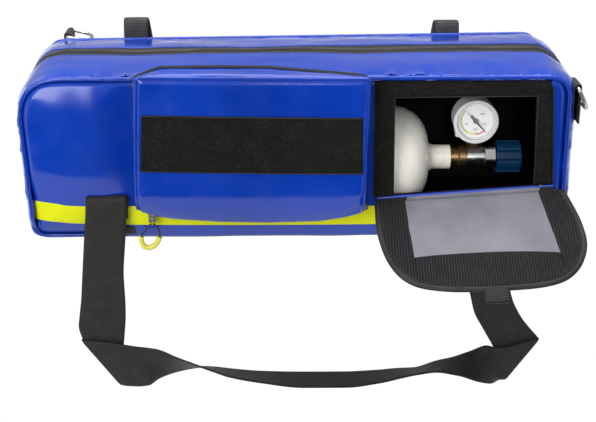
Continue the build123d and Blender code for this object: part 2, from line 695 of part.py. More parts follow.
OUTLET_FACE = AXIS_DEPTH + VALVE_R + 0.2
with BuildPart() as gas_outlet:
    outlet_plane = Plane(origin=point(GAUGE_X + 4, AXIS_DEPTH + 6.3, AXIS_HEIGHT), z_dir=(0, 1, 0))
    rod(outlet_plane, 4.95, OUTLET_FACE - AXIS_DEPTH - 6.3, 2.0)
    rod(Plane(origin=point(GAUGE_X + 4, OUTLET_FACE, AXIS_HEIGHT), z_dir=(0, 1, 0)), 8.0, 16.0, 2.0)
export(gas_outlet.part, "gas_outlet")

with BuildPart() as outlet_cap:
    cap_plane = Plane(origin=point(GAUGE_X + 4, OUTLET_FACE + 2, AXIS_HEIGHT), z_dir=(0, 1, 0))
    rod(cap_plane, 10.4, 16.6)
    with BuildSketch(cap_plane):
        Circle(8.1)
    extrude(amount=14.2, mode=Mode.SUBTRACT)
export(outlet_cap.part, "outlet_cap")

with BuildPart() as gauge_stem:
    stem_low = AXIS_HEIGHT + VALVE_R
    with BuildSketch(floor_plane(AXIS_HEIGHT + 6.2)):
        with Locations((GAUGE_X, AXIS_DEPTH)):
            Circle(3.95)
    extrude(amount=VALVE_R - 6.2 + 0.1)
    with BuildSketch(floor_plane(stem_low + 0.1)):
        with Locations((GAUGE_X, AXIS_DEPTH)):
            RegularPolygon(6.0, 6, major_radius=False)
    extrude(amount=GAUGE_HEIGHT - CASE_R - stem_low - 0.3)
export(gauge_stem.part, "gauge_stem")

BEZEL_BACK = GAUGE_DEPTH + 4.0
CAVITY_BACK = CASE_BACK - 2.0
with BuildPart() as gauge_case:
    rod(gauge_plane(BEZEL_BACK), CASE_R, CASE_BACK - BEZEL_BACK)
    for lug_angle in (225, 315):
        lug = (GAUGE_R * cos(radians(lug_angle)), GAUGE_R * sin(radians(lug_angle)))
        with BuildSketch(gauge_plane(BEZEL_BACK + 6)):
            with Locations(lug):
                Circle(3.0)
        extrude(amount=10)
    fillet(gauge_case.edges().filter_by(GeomType.CIRCLE).sort_by(Axis.Y)[-1], 1.5)
    with BuildSketch(gauge_plane(BEZEL_BACK)):
        Circle(19.2)
    extrude(amount=CAVITY_BACK - BEZEL_BACK, mode=Mode.SUBTRACT)
export(gauge_case.part, "gauge_case")

with BuildPart() as gauge_bezel:
    rod(gauge_plane(GAUGE_DEPTH), GAUGE_R, BEZEL_BACK - GAUGE_DEPTH, 18.7)
    fillet(gauge_bezel.edges().filter_by(GeomType.CIRCLE).sort_by(Axis.Y)[:2], 0.8)
export(gauge_bezel.part, "gauge_bezel")

with BuildPart() as gauge_lens:
    rod(gauge_plane(GAUGE_DEPTH + 0.8), 18.6, 1.2)
export(gauge_lens.part, "gauge_lens")

DIAL_DEPTH = GAUGE_DEPTH + 6.0
ARBOR_R = 1.0
with BuildPart() as gauge_dial:
    rod(gauge_plane(DIAL_DEPTH), 19.1, 0.8, ARBOR_R + RUNNING)
export(gauge_dial.part, "gauge_dial")

with BuildPart() as bourdon_tube:
    tube_r = 12.0
    with BuildLine(gauge_plane(DIAL_DEPTH + 8)) as tube_path:
        CenterArc((0, 0), tube_r, -90, 250)
    with BuildSketch(Plane(origin=tube_path.line @ 0, z_dir=tube_path.line % 0)):
        Circle(1.5)
    sweep(path=tube_path.line)
export(bourdon_tube.part, "bourdon_tube")

# ---------------------------------------------------------------- moving pieces of the valve

with BuildPart() as valve_spindle:
    rod(axis_plane(SEAT_X + 4.2), SPINDLE_R, 215.0 - SEAT_X - 4.2)
export(valve_spindle.part, "valve_spindle")

FLUTES, FLUTE_R = 8, 3.0
with BuildPart() as handwheel:
    rod(axis_plane(KNOB_X[0]), KNOB_R, KNOB_X[1] - KNOB_X[0])
    with BuildSketch(axis_plane(KNOB_X[0])):
        with PolarLocations(KNOB_R + 1.2, FLUTES):
            Circle(FLUTE_R)
    extrude(amount=KNOB_X[1] - KNOB_X[0], mode=Mode.SUBTRACT)
    with BuildSketch(axis_plane(KNOB_X[0])):
        Circle(SPINDLE_R + 0.02)
    extrude(amount=215.2 - KNOB_X[0], mode=Mode.SUBTRACT)
    chamfer(handwheel.faces().sort_by(Axis.X)[-1].edges(), 1.2)
export(handwheel.part, "handwheel")

NEEDLE_DEPTH = GAUGE_DEPTH + 3.4
NEEDLE_ANGLE = 228.0                          # in the gauge plane, whose x points to -X
with BuildPart() as gauge_needle:
    with BuildSketch(gauge_plane(NEEDLE_DEPTH)):
        with BuildLine(Plane.XY.rotated((0, 0, NEEDLE_ANGLE))):
            Polyline((-7.5, -1.3), (0, -1.3), (15.5, -0.25), (15.5, 0.25), (0, 1.3), (-7.5, 1.3),
                     close=True)
        make_face()
        Circle(2.6)
    extrude(amount=0.8)
    rod(gauge_plane(NEEDLE_DEPTH + 0.8), ARBOR_R, 8.0)
export(gauge_needle.part, "gauge_needle")
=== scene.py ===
"""Looks of the oxygen cylinder in its carry bag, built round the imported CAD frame.

Points are bag sizes in millimetres: x, depth behind the front face and height over the base.
"""
import math
import random

import bpy
import numpy as np
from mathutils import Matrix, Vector, noise


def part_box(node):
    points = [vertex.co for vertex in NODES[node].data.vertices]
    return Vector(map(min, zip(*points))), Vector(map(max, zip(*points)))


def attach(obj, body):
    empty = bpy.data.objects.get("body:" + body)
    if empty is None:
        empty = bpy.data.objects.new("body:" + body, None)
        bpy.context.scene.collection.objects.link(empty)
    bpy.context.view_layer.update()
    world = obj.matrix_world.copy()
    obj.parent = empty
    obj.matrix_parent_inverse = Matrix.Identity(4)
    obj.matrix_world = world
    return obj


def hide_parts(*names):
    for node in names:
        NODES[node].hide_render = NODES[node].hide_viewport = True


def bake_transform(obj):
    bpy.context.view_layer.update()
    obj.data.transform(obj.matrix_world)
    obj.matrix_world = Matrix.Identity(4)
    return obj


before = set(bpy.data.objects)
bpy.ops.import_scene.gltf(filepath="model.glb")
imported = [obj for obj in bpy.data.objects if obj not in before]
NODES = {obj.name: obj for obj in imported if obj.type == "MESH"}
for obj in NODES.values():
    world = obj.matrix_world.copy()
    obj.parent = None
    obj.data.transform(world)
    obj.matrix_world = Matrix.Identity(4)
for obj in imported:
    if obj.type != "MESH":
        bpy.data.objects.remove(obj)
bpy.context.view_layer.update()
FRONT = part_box("front_panel")[0].y
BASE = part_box("base_panel")[0].z
MM = 0.001
random.seed(7)


def at(p):
    """Row-frame point, in metres, of a point in bag sizes."""
    return Vector((p[0] * MM, FRONT + p[1] * MM, BASE + p[2] * MM))


def ease(low, high, value):
    """0 below low, 1 above high, and smooth between them."""
    t = min(1.0, max(0.0, (value - low) / (high - low)))
    return t * t * (3 - 2 * t)


def wobble(size, x, y=0.0, z=0.0):
    """Smooth noise of about that wavelength, from -1 to 1."""
    return noise.noise(Vector((x, y, z)) / size)


def lerp(a, b, t):
    return a + (b - a) * t


# ---------------------------------------------------------------- camera and light

scene = bpy.context.scene
scene.view_settings.view_transform = "Standard"


def linked(name, data):
    """A new object in the scene."""
    obj = bpy.data.objects.new(name, data)
    scene.collection.objects.link(obj)
    return obj


def aimed(name, data, place, aim):
    """A camera or light at one point that looks at another."""
    obj = linked(name, data)
    obj.location = at(place)
    obj.rotation_euler = (at(aim) - obj.location).to_track_quat("-Z", "Y").to_euler()
    return obj


camera = aimed("Camera", bpy.data.cameras.new("Camera"), (-16.8, -1095.0, 471.4), (3.3, 80.0, -7.0))
camera.data.sensor_width = 36.0
camera.data.lens = 73.93
scene.camera = camera
for name, place, aim, size, watts in (
        ("TopSoftbox", (0, 250, 1500), (0, 80, 80), (1.8, 1.2), 30),
        ("KeySoftbox", (-860, -1330, 640), (0, 0, 60), (1.0, 1.0), 21),
        ("RightSoftbox", (1300, -500, 700), (0, 0, 60), (0.6, 0.9), 2)):
    light = bpy.data.lights.new(name, "AREA")
    light.shape = "RECTANGLE"
    light.size, light.size_y = size
    light.energy = watts
    aimed(name, light, place, aim)
light = bpy.data.lights.new("WindowSpot", "SPOT")
light.energy = 40
light.spot_size = math.radians(8)
light.spot_blend = 0.5
light.shadow_soft_size = 0.12
aimed("WindowSpot", light, (60, -1450, 560), (145, 30, 88))
world = bpy.data.worlds.new("Studio")
world.use_nodes = True
world.node_tree.nodes["Background"].inputs["Color"].default_value = (1, 1, 1, 1)
world.node_tree.nodes["Background"].inputs["Strength"].default_value = 0.5
scene.world = world

# ---------------------------------------------------------------- materials


class Look:
    """A shader being built, its texture place in the piece's own sizes or along its UV map, in metres."""

    def __init__(self, name, rough, sockets=None, use_uv=False):
        self.material = bpy.data.materials.new(name)
        self.material.use_nodes = True
        self.bsdf = self.material.node_tree.nodes["Principled BSDF"]
        for key, value in {"Roughness": rough, **(sockets or {})}.items():
            self.bsdf.inputs[key].default_value = value
        self.where = self.add("ShaderNodeTexCoord", {}, "UV" if use_uv else "Object")

    def feed(self, socket, value):
        """Link a socket to an output, or set it to a value or a colour."""
        if isinstance(value, bpy.types.NodeSocket):
            self.material.node_tree.links.new(value, socket)
        else:
            socket.default_value = (*value, 1.0) if isinstance(value, tuple) else value

    def add(self, kind, inputs, output=0, **attributes):
        """Output of a new node, with its attributes and its inputs set or linked."""
        node = self.material.node_tree.nodes.new(kind)
        for key, value in attributes.items():
            setattr(node, key, value)
        for key, value in inputs.items():
            self.feed(node.inputs[key], value)
        return node.outputs[output]

    def speckle(self, scale, detail=2.0, roughness=0.5):
        return self.add("ShaderNodeTexNoise", {"Vector": self.where, "Scale": scale, "Detail": detail,
                                               "Roughness": roughness}, "Fac")

    def ribs(self, period, axis, distortion=0.0):
        """Parallel ribs, period metres apart along an axis."""
        return self.add("ShaderNodeTexWave", {"Vector": self.where, "Scale": 0.31416 / period,
                                              "Distortion": distortion, "Detail": 1.0}, "Fac",
                        bands_direction=axis)

    def remap(self, value, low, high, to_low, to_high):
        return self.add("ShaderNodeMapRange", {"Value": value, "From Min": low, "From Max": high,
                                               "To Min": to_low, "To Max": to_high})

    def join(self, operation, a, b):
        return self.add("ShaderNodeMath", {0: a, 1: b}, operation=operation)

    def mix(self, factor, a, b):
        return self.add("ShaderNodeMix", {0: factor, 6: a, 7: b}, 2, data_type="RGBA")

    def finish(self, color=None, rough=None, height=None, depth=0.0001):
        """The material, linked to its colour, its roughness and a bump of that depth in metres."""
        if height is not None:
            height = self.add("ShaderNodeBump", {"Height": height, "Distance": depth})
        for key, output in (("Base Color", color), ("Roughness", rough), ("Normal", height)):
            if output is not None:
                self.feed(self.bsdf.inputs[key], output)
        return self.material


def coated_fabric(name, low, high, rough=(0.13, 0.24)):
    """PVC-coated fabric: glossy, with a faint base cloth and uneven gloss."""
    m = Look(name, 0.2, {"IOR": 1.5, "Coat Weight": 0.08, "Coat Roughness": 0.05})
    return m.finish(m.mix(m.remap(m.speckle(11.0, 3.0), 0.35, 0.65, 0, 1), low, high),
                    m.remap(m.speckle(45.0, 4.0), 0.35, 0.7, *rough), m.speckle(700.0, 1.0), 0.00003)


def webbing(name, dark, light, period):
    """Ribbed polyester webbing, with ribs across it and finer yarns along it. Its colour follows the weave's
    height: painted highlight on the rib tops, painted shade in the grooves.
    """
    m = Look(name, 0.62, {"Specular IOR Level": 0.3}, True)
    across = m.join("MULTIPLY", m.ribs(period, "Y", 0.3), 0.7)
    weave = m.join("ADD", across, m.join("MULTIPLY", m.ribs(0.0011, "X", 0.6), 0.3))
    # Painted shade in the grooves and painted highlight on the rib tops, times a real random tone
    painted_shade_and_tone = m.join("MULTIPLY", weave, m.remap(m.speckle(60.0, 3.0), 0.3, 0.7, 0.6, 1.15))
    return m.finish(m.mix(painted_shade_and_tone, dark, light), m.remap(weave, 0, 1, 0.75, 0.5), weave, 0.00022)


def hook_and_loop(name, dark, light, scale=520.0, depth=0.0007, ribbed=0.0):
    """Hook or loop tape: a deep pile, with ribs where the hooks stand in rows. Its colour follows the pile's
    height: painted shade in the hollows, painted highlight on the tops.
    """
    m = Look(name, 0.85, {"Specular IOR Level": 0.15})
    height = m.speckle(scale, 5.0, 0.7)
    if ribbed:
        height = m.join("ADD", m.join("MULTIPLY", height, 0.55),
                        m.join("MULTIPLY", m.ribs(ribbed, "X", 0.8), 0.45))
    # Painted shade in the pile's hollows and painted highlight on its tops, times a real random tone
    painted_shade_and_tone = m.join("MULTIPLY", m.remap(height, 0.35, 0.75, 0, 1),
                  m.remap(m.speckle(60.0, 3.0), 0.3, 0.7, 0.6, 1.2))
    return m.finish(m.mix(painted_shade_and_tone, dark, light), None, height, depth)


def paint(name, low, high, rough, grain=900.0, depth=0.00002, sockets=None, broad=25.0):
    """Moulded, painted or metal surface with slight unevenness in colour and gloss."""
    m = Look(name, sum(rough) / 2, sockets)
    return m.finish(m.mix(m.remap(m.speckle(broad, 4.0), 0.35, 0.68, 0, 1), low, high),
                    m.remap(m.speckle(broad * 7, 5.0, 0.6), 0.3, 0.7, *rough), m.speckle(grain), depth)


BLUE = coated_fabric("PvcBlue", (0.0, 0.031, 0.33), (0.001, 0.040, 0.40))
PIPING = coated_fabric("PvcPiping", (0.0, 0.033, 0.34), (0.001, 0.042, 0.41), (0.12, 0.2))
m = Look("ReflectiveStripe", 0.35, {"Specular IOR Level": 0.15})
prisms = m.add("ShaderNodeTexVoronoi", {"Vector": m.where, "Scale": 380.0}, "Distance")
STRIPE = m.finish(m.mix(m.speckle(60.0, 3.0), (0.66, 0.72, 0.0), (0.78, 0.80, 0.0)), None, prisms, 0.00012)
m = Look("Lining", 0.75, {"Specular IOR Level": 0.06})
LINING = m.finish(m.mix(m.speckle(20.0, 3.0), (0.003, 0.003, 0.004), (0.008, 0.008, 0.010)), None,
                  m.join("ADD", m.ribs(0.0012, "X"), m.ribs(0.0012, "Z")), 0.00008)
LOOP_TAPE = hook_and_loop("LoopTape", (0.001, 0.001, 0.001), (0.018, 0.0175, 0.015))
HOOK_TAPE = hook_and_loop("HookTape", (0.007, 0.007, 0.008), (0.030, 0.030, 0.033), 700.0, 0.0003, 0.0026)
SELVEDGE = paint("Selvedge", (0.016, 0.016, 0.016), (0.034, 0.033, 0.031), (0.6, 0.8), 1500.0, 0.0001,
                 {"Specular IOR Level": 0.2})
WEBBING = webbing("Webbing", (0.002, 0.002, 0.002), (0.028, 0.027, 0.024), 0.0024)
WEBBING_DARK = webbing("WebbingDark", (0.010, 0.010, 0.010), (0.070, 0.070, 0.064), 0.0021)
BINDING = paint("Binding", (0.010, 0.010, 0.010), (0.024, 0.024, 0.022), (0.5, 0.7), 1300.0, 0.0002,
                {"Specular IOR Level": 0.3})
THREAD = paint("Thread", (0.012, 0.012, 0.012), (0.03, 0.03, 0.03), (0.5, 0.7))
THREAD_BLUE = paint("ThreadBlue", (0.003, 0.03, 0.30), (0.006, 0.05, 0.42), (0.4, 0.6))
ZIP_TAPE = webbing("ZipTape", (0.008, 0.008, 0.008), (0.030, 0.029, 0.026), 0.0022)
# Darker copy of the zip tape for the pocket's zip: partly its real dark tape, partly painted shade of the
# groove round the pocket
ZIP_TAPE_PAINTED_SHADE = webbing("ZipTapePaintedShade", (0.003, 0.003, 0.003), (0.014, 0.014, 0.013), 0.0022)
ZIP_TEETH = paint("ZipTeeth", (0.03, 0.03, 0.03), (0.085, 0.085, 0.08), (0.25, 0.4))
m = Look("CloudyVinyl", 0.4, {"Specular IOR Level": 0.22, "Coat Weight": 0.04})
cloud = m.remap(m.speckle(16.0, 4.0, 0.55), 0.32, 0.7, 0, 1)
VINYL = m.finish(m.mix(cloud, (0.110, 0.113, 0.138), (0.200, 0.198, 0.226)),
                 m.remap(cloud, 0, 1, 0.3, 0.5), m.speckle(90.0, 3.0), 0.0003)
WHITE = paint("CylinderPaint", (0.83, 0.81, 0.74), (0.87, 0.85, 0.79), (0.22, 0.34), 260.0, 0.00004,
              {"Coat Weight": 0.3, "Coat Roughness": 0.12}, 18.0)
CHROME = paint("Chrome", (0.60, 0.60, 0.61), (0.80, 0.80, 0.80), (0.14, 0.30), 1200.0, 0.00001,
               {"Metallic": 1.0})
STEEL = paint("Steel", (0.42, 0.42, 0.42), (0.60, 0.59, 0.58), (0.18, 0.38), 1400.0, 0.00003,
              {"Metallic": 1.0})
BRASS = paint("Brass", (0.20, 0.12, 0.05), (0.36, 0.24, 0.11), (0.24, 0.42), 900.0, 0.00004,
              {"Metallic": 1.0}, 60.0)
GAUGE = paint("GaugeCase", (0.62, 0.63, 0.64), (0.72, 0.73, 0.73), (0.28, 0.42), 500.0, 0.00003)
DIAL = paint("DialPaint", (0.86, 0.87, 0.88), (0.92, 0.92, 0.92), (0.4, 0.55))
m = Look("GaugeLens", 0.04, {"IOR": 1.45, "Alpha": 0.07, "Base Color": (1, 1, 1, 1)})
LENS = m.finish(None, m.remap(m.speckle(80.0), 0.3, 0.7, 0.03, 0.10))
INK = paint("DialInk", (0.012, 0.012, 0.014), (0.03, 0.03, 0.03), (0.4, 0.5))
INK_GREEN = paint("DialGreen", (0.30, 0.50, 0.05), (0.42, 0.62, 0.08), (0.4, 0.5))
INK_YELLOW = paint("DialYellow", (0.55, 0.60, 0.08), (0.70, 0.72, 0.12), (0.4, 0.5))
INK_RED = paint("DialRed", (0.60, 0.05, 0.06), (0.75, 0.10, 0.10), (0.4, 0.5))
KNOB = paint("KnobPlastic", (0.0, 0.022, 0.066), (0.001, 0.036, 0.100), (0.35, 0.5), 350.0, 0.00006,
             {"Specular IOR Level": 0.25})
NYLON = paint("Nylon", (0.70, 0.68, 0.62), (0.80, 0.78, 0.74), (0.4, 0.6))
CORD_BLACK = paint("CordSheath", (0.006, 0.006, 0.006), (0.03, 0.03, 0.03), (0.6, 0.8), 2200.0, 0.0002)
GRIP_YELLOW = paint("GripTube", (0.66, 0.64, 0.06), (0.80, 0.76, 0.12), (0.25, 0.4), 400.0, 0.00008,
                    {"Subsurface Weight": 0.25, "Subsurface Scale": 0.002})
# CAD nodes that a piece stands for
STANDS_FOR = {
    "PullGrip": ["pocket_pull_grip"],
    "GussetLower": ["base_panel", "left_end_panel", "right_end_panel", "base_liner", "left_end_liner",
                    "right_end_liner"],
    "TopFrontLeaf": ["top_front_panel"], "TopRearLeaf": ["top_rear_panel"],
    "ZipFrontTape": ["top_front_zip"], "ZipRearTape": ["top_rear_zip"],
    "ZipLeftEnd": ["left_zip_end"], "ZipRightEnd": ["right_zip_end"], "FrontPiping": ["seam_piping"],
    "FrontWall": ["front_panel", "front_liner"], "RearWall": ["rear_panel", "rear_liner"],
    "ReflectiveStripe": ["reflective_stripe"], "FrameTapeLeft": ["window_frame_tape"],
    "PocketBody": ["pocket_cover", "pocket_gusset"], "PocketZipTape": ["pocket_zip"],
    "PocketZipRim": ["pocket_zip_rim"], "PocketLabelTape": ["pocket_label_tape"],
    "FlapPanel": ["flap_panel"], "FlapWindow": ["flap_window"], "HookTapeLeft": ["flap_hook_tape"],
    "FlapBinding": ["flap_binding"], "FlapPullTab": ["flap_pull_tab"], "CarryStrap": ["carry_strap"],
    "StrapAnchorLeft": ["strap_anchors"], "LeftRailLoop": ["left_rail_loop"],
    "RightRailLoop": ["right_rail_loop"], "LeftRingTab": ["left_ring_tab"],
    "RightRingTab": ["right_ring_tab"], "CylinderStrap0": ["cylinder_straps"]}

# ---------------------------------------------------------------- mesh helpers


def piece(name, points, faces, materials, body="bag", slot=None, uvs=None, thick=0.0, rim=0):
    """A smooth mesh in the row frame. thick makes it solid inwards, its inner side the next material."""
    mesh = bpy.data.meshes.new(name)
    mesh.from_pydata([at(p) for p in points], [], faces)
    if uvs is not None:
        layer = mesh.uv_layers.new(name="UVMap")
        for loop in mesh.loops:
            layer.data[loop.index].uv = uvs[loop.vertex_index]
    for material in materials:
        mesh.materials.append(material)
    mesh.polygons.foreach_set("use_smooth", [True] * len(mesh.polygons))
    mesh.update()
    obj = linked(name, mesh)
    if thick:
        solid = obj.modifiers.new("Solid", "SOLIDIFY")
        solid.thickness = thick * MM
        solid.offset = -1.0
        solid.material_offset = 1
        solid.material_offset_rim = rim
        with bpy.context.temp_override(object=obj, active_object=obj):
            bpy.ops.object.modifier_apply(modifier="Solid")
    if name in STANDS_FOR:
        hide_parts(*STANDS_FOR[name])
    if body:
        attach(obj, body)
    return obj


def grid_faces(across, along, wrap_across=False, wrap_along=False, skip=None, flip=False):
    """Faces of a grid whose points run across first, then along."""
    faces = []
    for j in range(along if wrap_along else along - 1):
        for i in range(across if wrap_across else across - 1):
            if skip and skip(i, j):
                continue
            i2, j2 = (i + 1) % across, (j + 1) % along
            face = [j * across + i, j * across + i2, j2 * across + i2, j2 * across + i]
            faces.append(face[::-1] if flip else face)
    return faces


def capped(faces, around, count):
    """Those faces and the two ends of a bar of count points, with around points in each ring."""
    return faces + [list(range(around))[::-1], list(range(count - around, count))]


def fillet(corners, radii):
    """Corners of a closed flat route rounded to their radii, as a list of points."""
    rounded = []
    for i, corner in enumerate(corners):
        here = Vector(corner)
        before, after = Vector(corners[i - 1]) - here, Vector(corners[(i + 1) % len(corners)]) - here
        turn = before.angle(after)
        reach = min(radii[i] / math.tan(turn / 2), 0.49 * before.length, 0.49 * after.length)
        start, end = here + before.normalized() * reach, here + after.normalized() * reach
        count = max(2, int((math.pi - turn) * radii[i] / 3) + 2)
        for k in range(count + 1):
            t = k / count
            rounded.append(tuple((1 - t) ** 2 * start + 2 * t * (1 - t) * here + t * t * end))
    return rounded


def spaced(points, step, closed=False, count=None):
    """The same route as evenly spaced points, in a numpy array."""
    line = np.array([*points, points[0]] if closed else points, float)
    reach = np.concatenate([[0], np.cumsum(np.linalg.norm(np.diff(line, axis=0), axis=1))])
    count = count or max(2, int(round(reach[-1] / step)))
    at_lengths = np.linspace(0, reach[-1], count + 1)[:count if closed else count + 1]
    return np.stack([np.interp(at_lengths, reach, line[:, k]) for k in range(line.shape[1])], axis=1)


def spline(points, step):
    """Smooth route through points, evenly spaced."""
    line = np.array(points, float)
    padded = np.vstack([2 * line[0] - line[1], line, 2 * line[-1] - line[-2]])
    route = []
    for i in range(1, len(padded) - 2):
        a, b, c, d = padded[i - 1:i + 3]
        for t in np.linspace(0, 1, 12, endpoint=False):
            route.append(0.5 * (2 * b + (c - a) * t + (2 * a - 5 * b + 4 * c - d) * t ** 2
                                + (3 * b - a - 3 * c + d) * t ** 3))
    route.append(line[-1])
    return spaced(route, step)


def directions(route, closed=False):
    """Unit vectors along a route."""
    if closed:
        ahead = np.roll(route, -1, axis=0) - np.roll(route, 1, axis=0)
    else:
        ahead = np.gradient(route, axis=0)
    return ahead / np.maximum(np.linalg.norm(ahead, axis=1, keepdims=True), 1e-9)


def span(outline, value, axis):
    """Lowest and highest reach of a closed outline where its coordinate axis equals value."""
    a, b = outline, np.roll(outline, -1, axis=0)
    crosses = (a[:, axis] - value) * (b[:, axis] - value) <= 0
    a, b = a[crosses], b[crosses]
    gap = b[:, axis] - a[:, axis]
    t = np.where(np.abs(gap) < 1e-9, 0.5, (value - a[:, axis]) / np.where(np.abs(gap) < 1e-9, 1, gap))
    found = a[:, 1 - axis] + (b[:, 1 - axis] - a[:, 1 - axis]) * t
    return found.min(), found.max()


def steps(low, high, step):
    """Evenly spaced values from low to high, about a step apart."""
    return list(np.linspace(low, high, max(2, int(round((high - low) / step)) + 1)))


def square_to(ahead, side):
    """Two unit vectors square to a direction, the first of them also square to side."""
    first = np.cross(ahead, side)
    first /= np.linalg.norm(first)
    return first, np.cross(first, ahead)


def tube(name, route, radius, material, side=(0, 1, 0), closed=False, sides=10, flat=1.0, **options):
    """Round or flattened bar along a route. side is the direction that it is flattened in."""
    route = np.array(route, float)
    points, uvs = [], []
    reach = 0.0
    for i, (p, t) in enumerate(zip(route, directions(route, closed))):
        reach += 0.0 if i == 0 else float(np.linalg.norm(p - route[i - 1])) * MM
        first, second = square_to(t, side)
        r = radius(i) if callable(radius) else radius
        for k in range(sides):
            a = 2 * math.pi * k / sides
            points.append(p + first * r * math.cos(a) + second * r * flat * math.sin(a))
            uvs.append((k / sides * 2 * math.pi * r * MM, reach))
    faces = grid_faces(sides, len(route), True, closed)
    return piece(name, points, faces if closed else capped(faces, sides, len(points)), [material], uvs=uvs,
                 **options)


def ribbon(name, left, right, thick, material, cells=10, **options):
    """Webbing between two edges, given point by point, with a rounded section."""
    edges = np.array([left, right], float)
    middle = (edges[0] + edges[1]) / 2
    points, uvs = [], []
    reach = [0.0, 0.0]
    ring = [k / cells for k in range(cells + 1)]
    for i, ahead in enumerate(directions(middle)):
        for n in range(2 if i else 0):
            reach[n] += float(np.linalg.norm(edges[n][i] - edges[n][i - 1])) * MM
        width = edges[1][i] - edges[0][i]
        wide = float(np.linalg.norm(width))
        up = np.cross(width / wide, ahead)
        up /= max(np.linalg.norm(up), 1e-9)
        for side, order in ((1, ring), (-1, ring[::-1])):
            for w in order:
                edge = min(w, 1 - w) * wide
                half = thick / 2 * math.sqrt(min(1.0, 0.18 + edge / (thick * 0.9)))
                points.append(edges[0][i] + width * w + up * side * half)
                uvs.append((w * wide * MM, lerp(reach[0], reach[1], w)))
    around = 2 * (cells + 1)
    return piece(name, points, capped(grid_faces(around, len(middle), True), around, len(points)),
                 [material], uvs=uvs, **options)


# Reach of the rounding along the edges of tapes, in millimetres
EDGE_ROUND = 1.2


def patch(name, corners, surface, thick, material, step=2.0, fuzz=0.0, **options):
    """Tape or pad sewn to a surface: four corners in that surface's two sizes, in order round it.

    surface(a, b, lift) gives the point that stands lift above the surface.
    """
    c = [Vector(p) for p in corners]
    wide, tall = (c[1] - c[0]).length, (c[3] - c[0]).length
    across = max(3, int(max(wide, (c[2] - c[3]).length) / step) + 1)
    along = max(3, int(max(tall, (c[2] - c[1]).length) / step) + 1)

    def spot(k):
        """Shares across and along, and the place, of a point of the grid."""
        s, t = (k % across) / (across - 1), (k // across) / (along - 1)
        return s, t, (c[0] * (1 - s) + c[1] * s) * (1 - t) + (c[3] * (1 - s) + c[2] * s) * t

    points, uvs = [], []
    top = across * along
    for k in range(top):
        s, t, p = spot(k)
        rim = min(min(s, 1 - s) * wide, min(t, 1 - t) * tall)
        round_off = math.sqrt(min(1.0, rim / EDGE_ROUND + 0.02))
        rough = fuzz * (noise.noise(Vector((p.x, p.y, thick)) * 1.7) + 0.5 * random.uniform(-1, 1))
        points.append(surface(p.x, p.y, thick * round_off + rough * round_off))
        uvs.append((s * wide * MM, t * tall * MM))
    ring = list(range(across)) + [j * across + across - 1 for j in range(1, along)]
    ring += [(along - 1) * across + i for i in range(across - 2, -1, -1)]
    ring += [j * across for j in range(along - 2, 0, -1)]
    for k in ring:
        p = spot(k)[2]
        points.append(surface(p.x, p.y, 0.0))
        uvs.append(uvs[k])
    faces = grid_faces(across, along)
    for n, k in enumerate(ring):
        m = (n + 1) % len(ring)
        faces.append([k, top + n, top + m, ring[m]])
    return piece(name, points, faces, [material], uvs=uvs, **options)


# A stitch is four rings of six points
STITCH_FACES = capped(grid_faces(6, 4, True), 6, 24)


def stitches(name, route, pitch, long, thick, material, **options):
    """A row of thread stitches along a route."""
    route = spaced(route, pitch)
    points, faces = [], []
    for p, t in zip(route, directions(route)):
        first, second = square_to(t, (0, 1, 0) if abs(t[1]) < 0.9 else (1, 0, 0))
        faces += [[len(points) + k for k in face] for face in STITCH_FACES]
        for reach, size in ((-0.5, 0.35), (-0.3, 1.0), (0.3, 1.0), (0.5, 0.35)):
            for k in range(6):
                a = math.pi * k / 3
                points.append(p + t * long * reach
                              + (first * math.cos(a) + second * math.sin(a)) * thick * 0.5 * size)
    return piece(name, points, faces, [material], **options)


# ---------------------------------------------------------------- pull loop on the pocket zip

PULL_ROUTE = [(-138.9, 18.2), (-144.5, 12), (-150.5, 3), (-146.5, -7.5), (-136.5, -6), (-130.5, 5),
              (-132, 14), (-137.1, 18.2)]
PULL_DEPTH = -11.5
CORD_RADIUS = 0.9
curve = bpy.data.curves.new("PullCord", "CURVE")
curve.dimensions = "3D"
line = curve.splines.new("NURBS")
line.points.add(len(PULL_ROUTE) - 1)
for point, (x, height) in zip(line.points, PULL_ROUTE):
    point.co = (*at((x, PULL_DEPTH, height)), 1.0)
    point.radius = CORD_RADIUS * MM
line.order_u = 3
line.use_endpoint_u = True
line.resolution_u = 12
curve.bevel_resolution = 4
curve.materials.append(CORD_BLACK)
pull_cord = linked("PullCord", curve)
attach(pull_cord, "pocket_pull")
# The cord's middle line, taken before the curve gets its round section
bare = bpy.data.meshes.new_from_object(pull_cord.evaluated_get(bpy.context.evaluated_depsgraph_get()))
curve.bevel_depth = 1.0
pull_line = np.array([(v.co.x / MM, (v.co.y - FRONT) / MM, (v.co.z - BASE) / MM) for v in bare.vertices])
bpy.data.meshes.remove(bare)
pull_line = spaced(pull_line, 0.5)
grip_line = pull_line[int(len(pull_line) * 0.26):int(len(pull_line) * 0.76)]
grip = tube("PullGrip", grip_line, 2.6, GRIP_YELLOW, sides=16, body="pocket_pull")
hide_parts("pocket_pull_cord")

# ---------------------------------------------------------------- bag shell


def outward(outline):
    """Unit directions out of a closed anticlockwise outline."""
    ahead = directions(outline, True)
    return np.stack([ahead[:, 1], -ahead[:, 0]], axis=1)


FRONT_CORNERS = [(-254, -3.5), (259, -3.5), (256.5, 158.5), (-260, 158.5)]
REAR_CORNERS = [(-254, -3.5), (259, -3.5), (256.5, 158), (-258, 158)]
OUTLINE = spaced(fillet(FRONT_CORNERS, [14, 46, 22, 42]), 2.5, True)
COUNT = len(OUTLINE)
REAR_FALL = 5.5


def sagged(x, z):
    """Height of a point of the rear wall: its top edge falls towards the left."""
    return z - REAR_FALL * (256.5 - x) / 514.5 * max(0.0, z) / 158


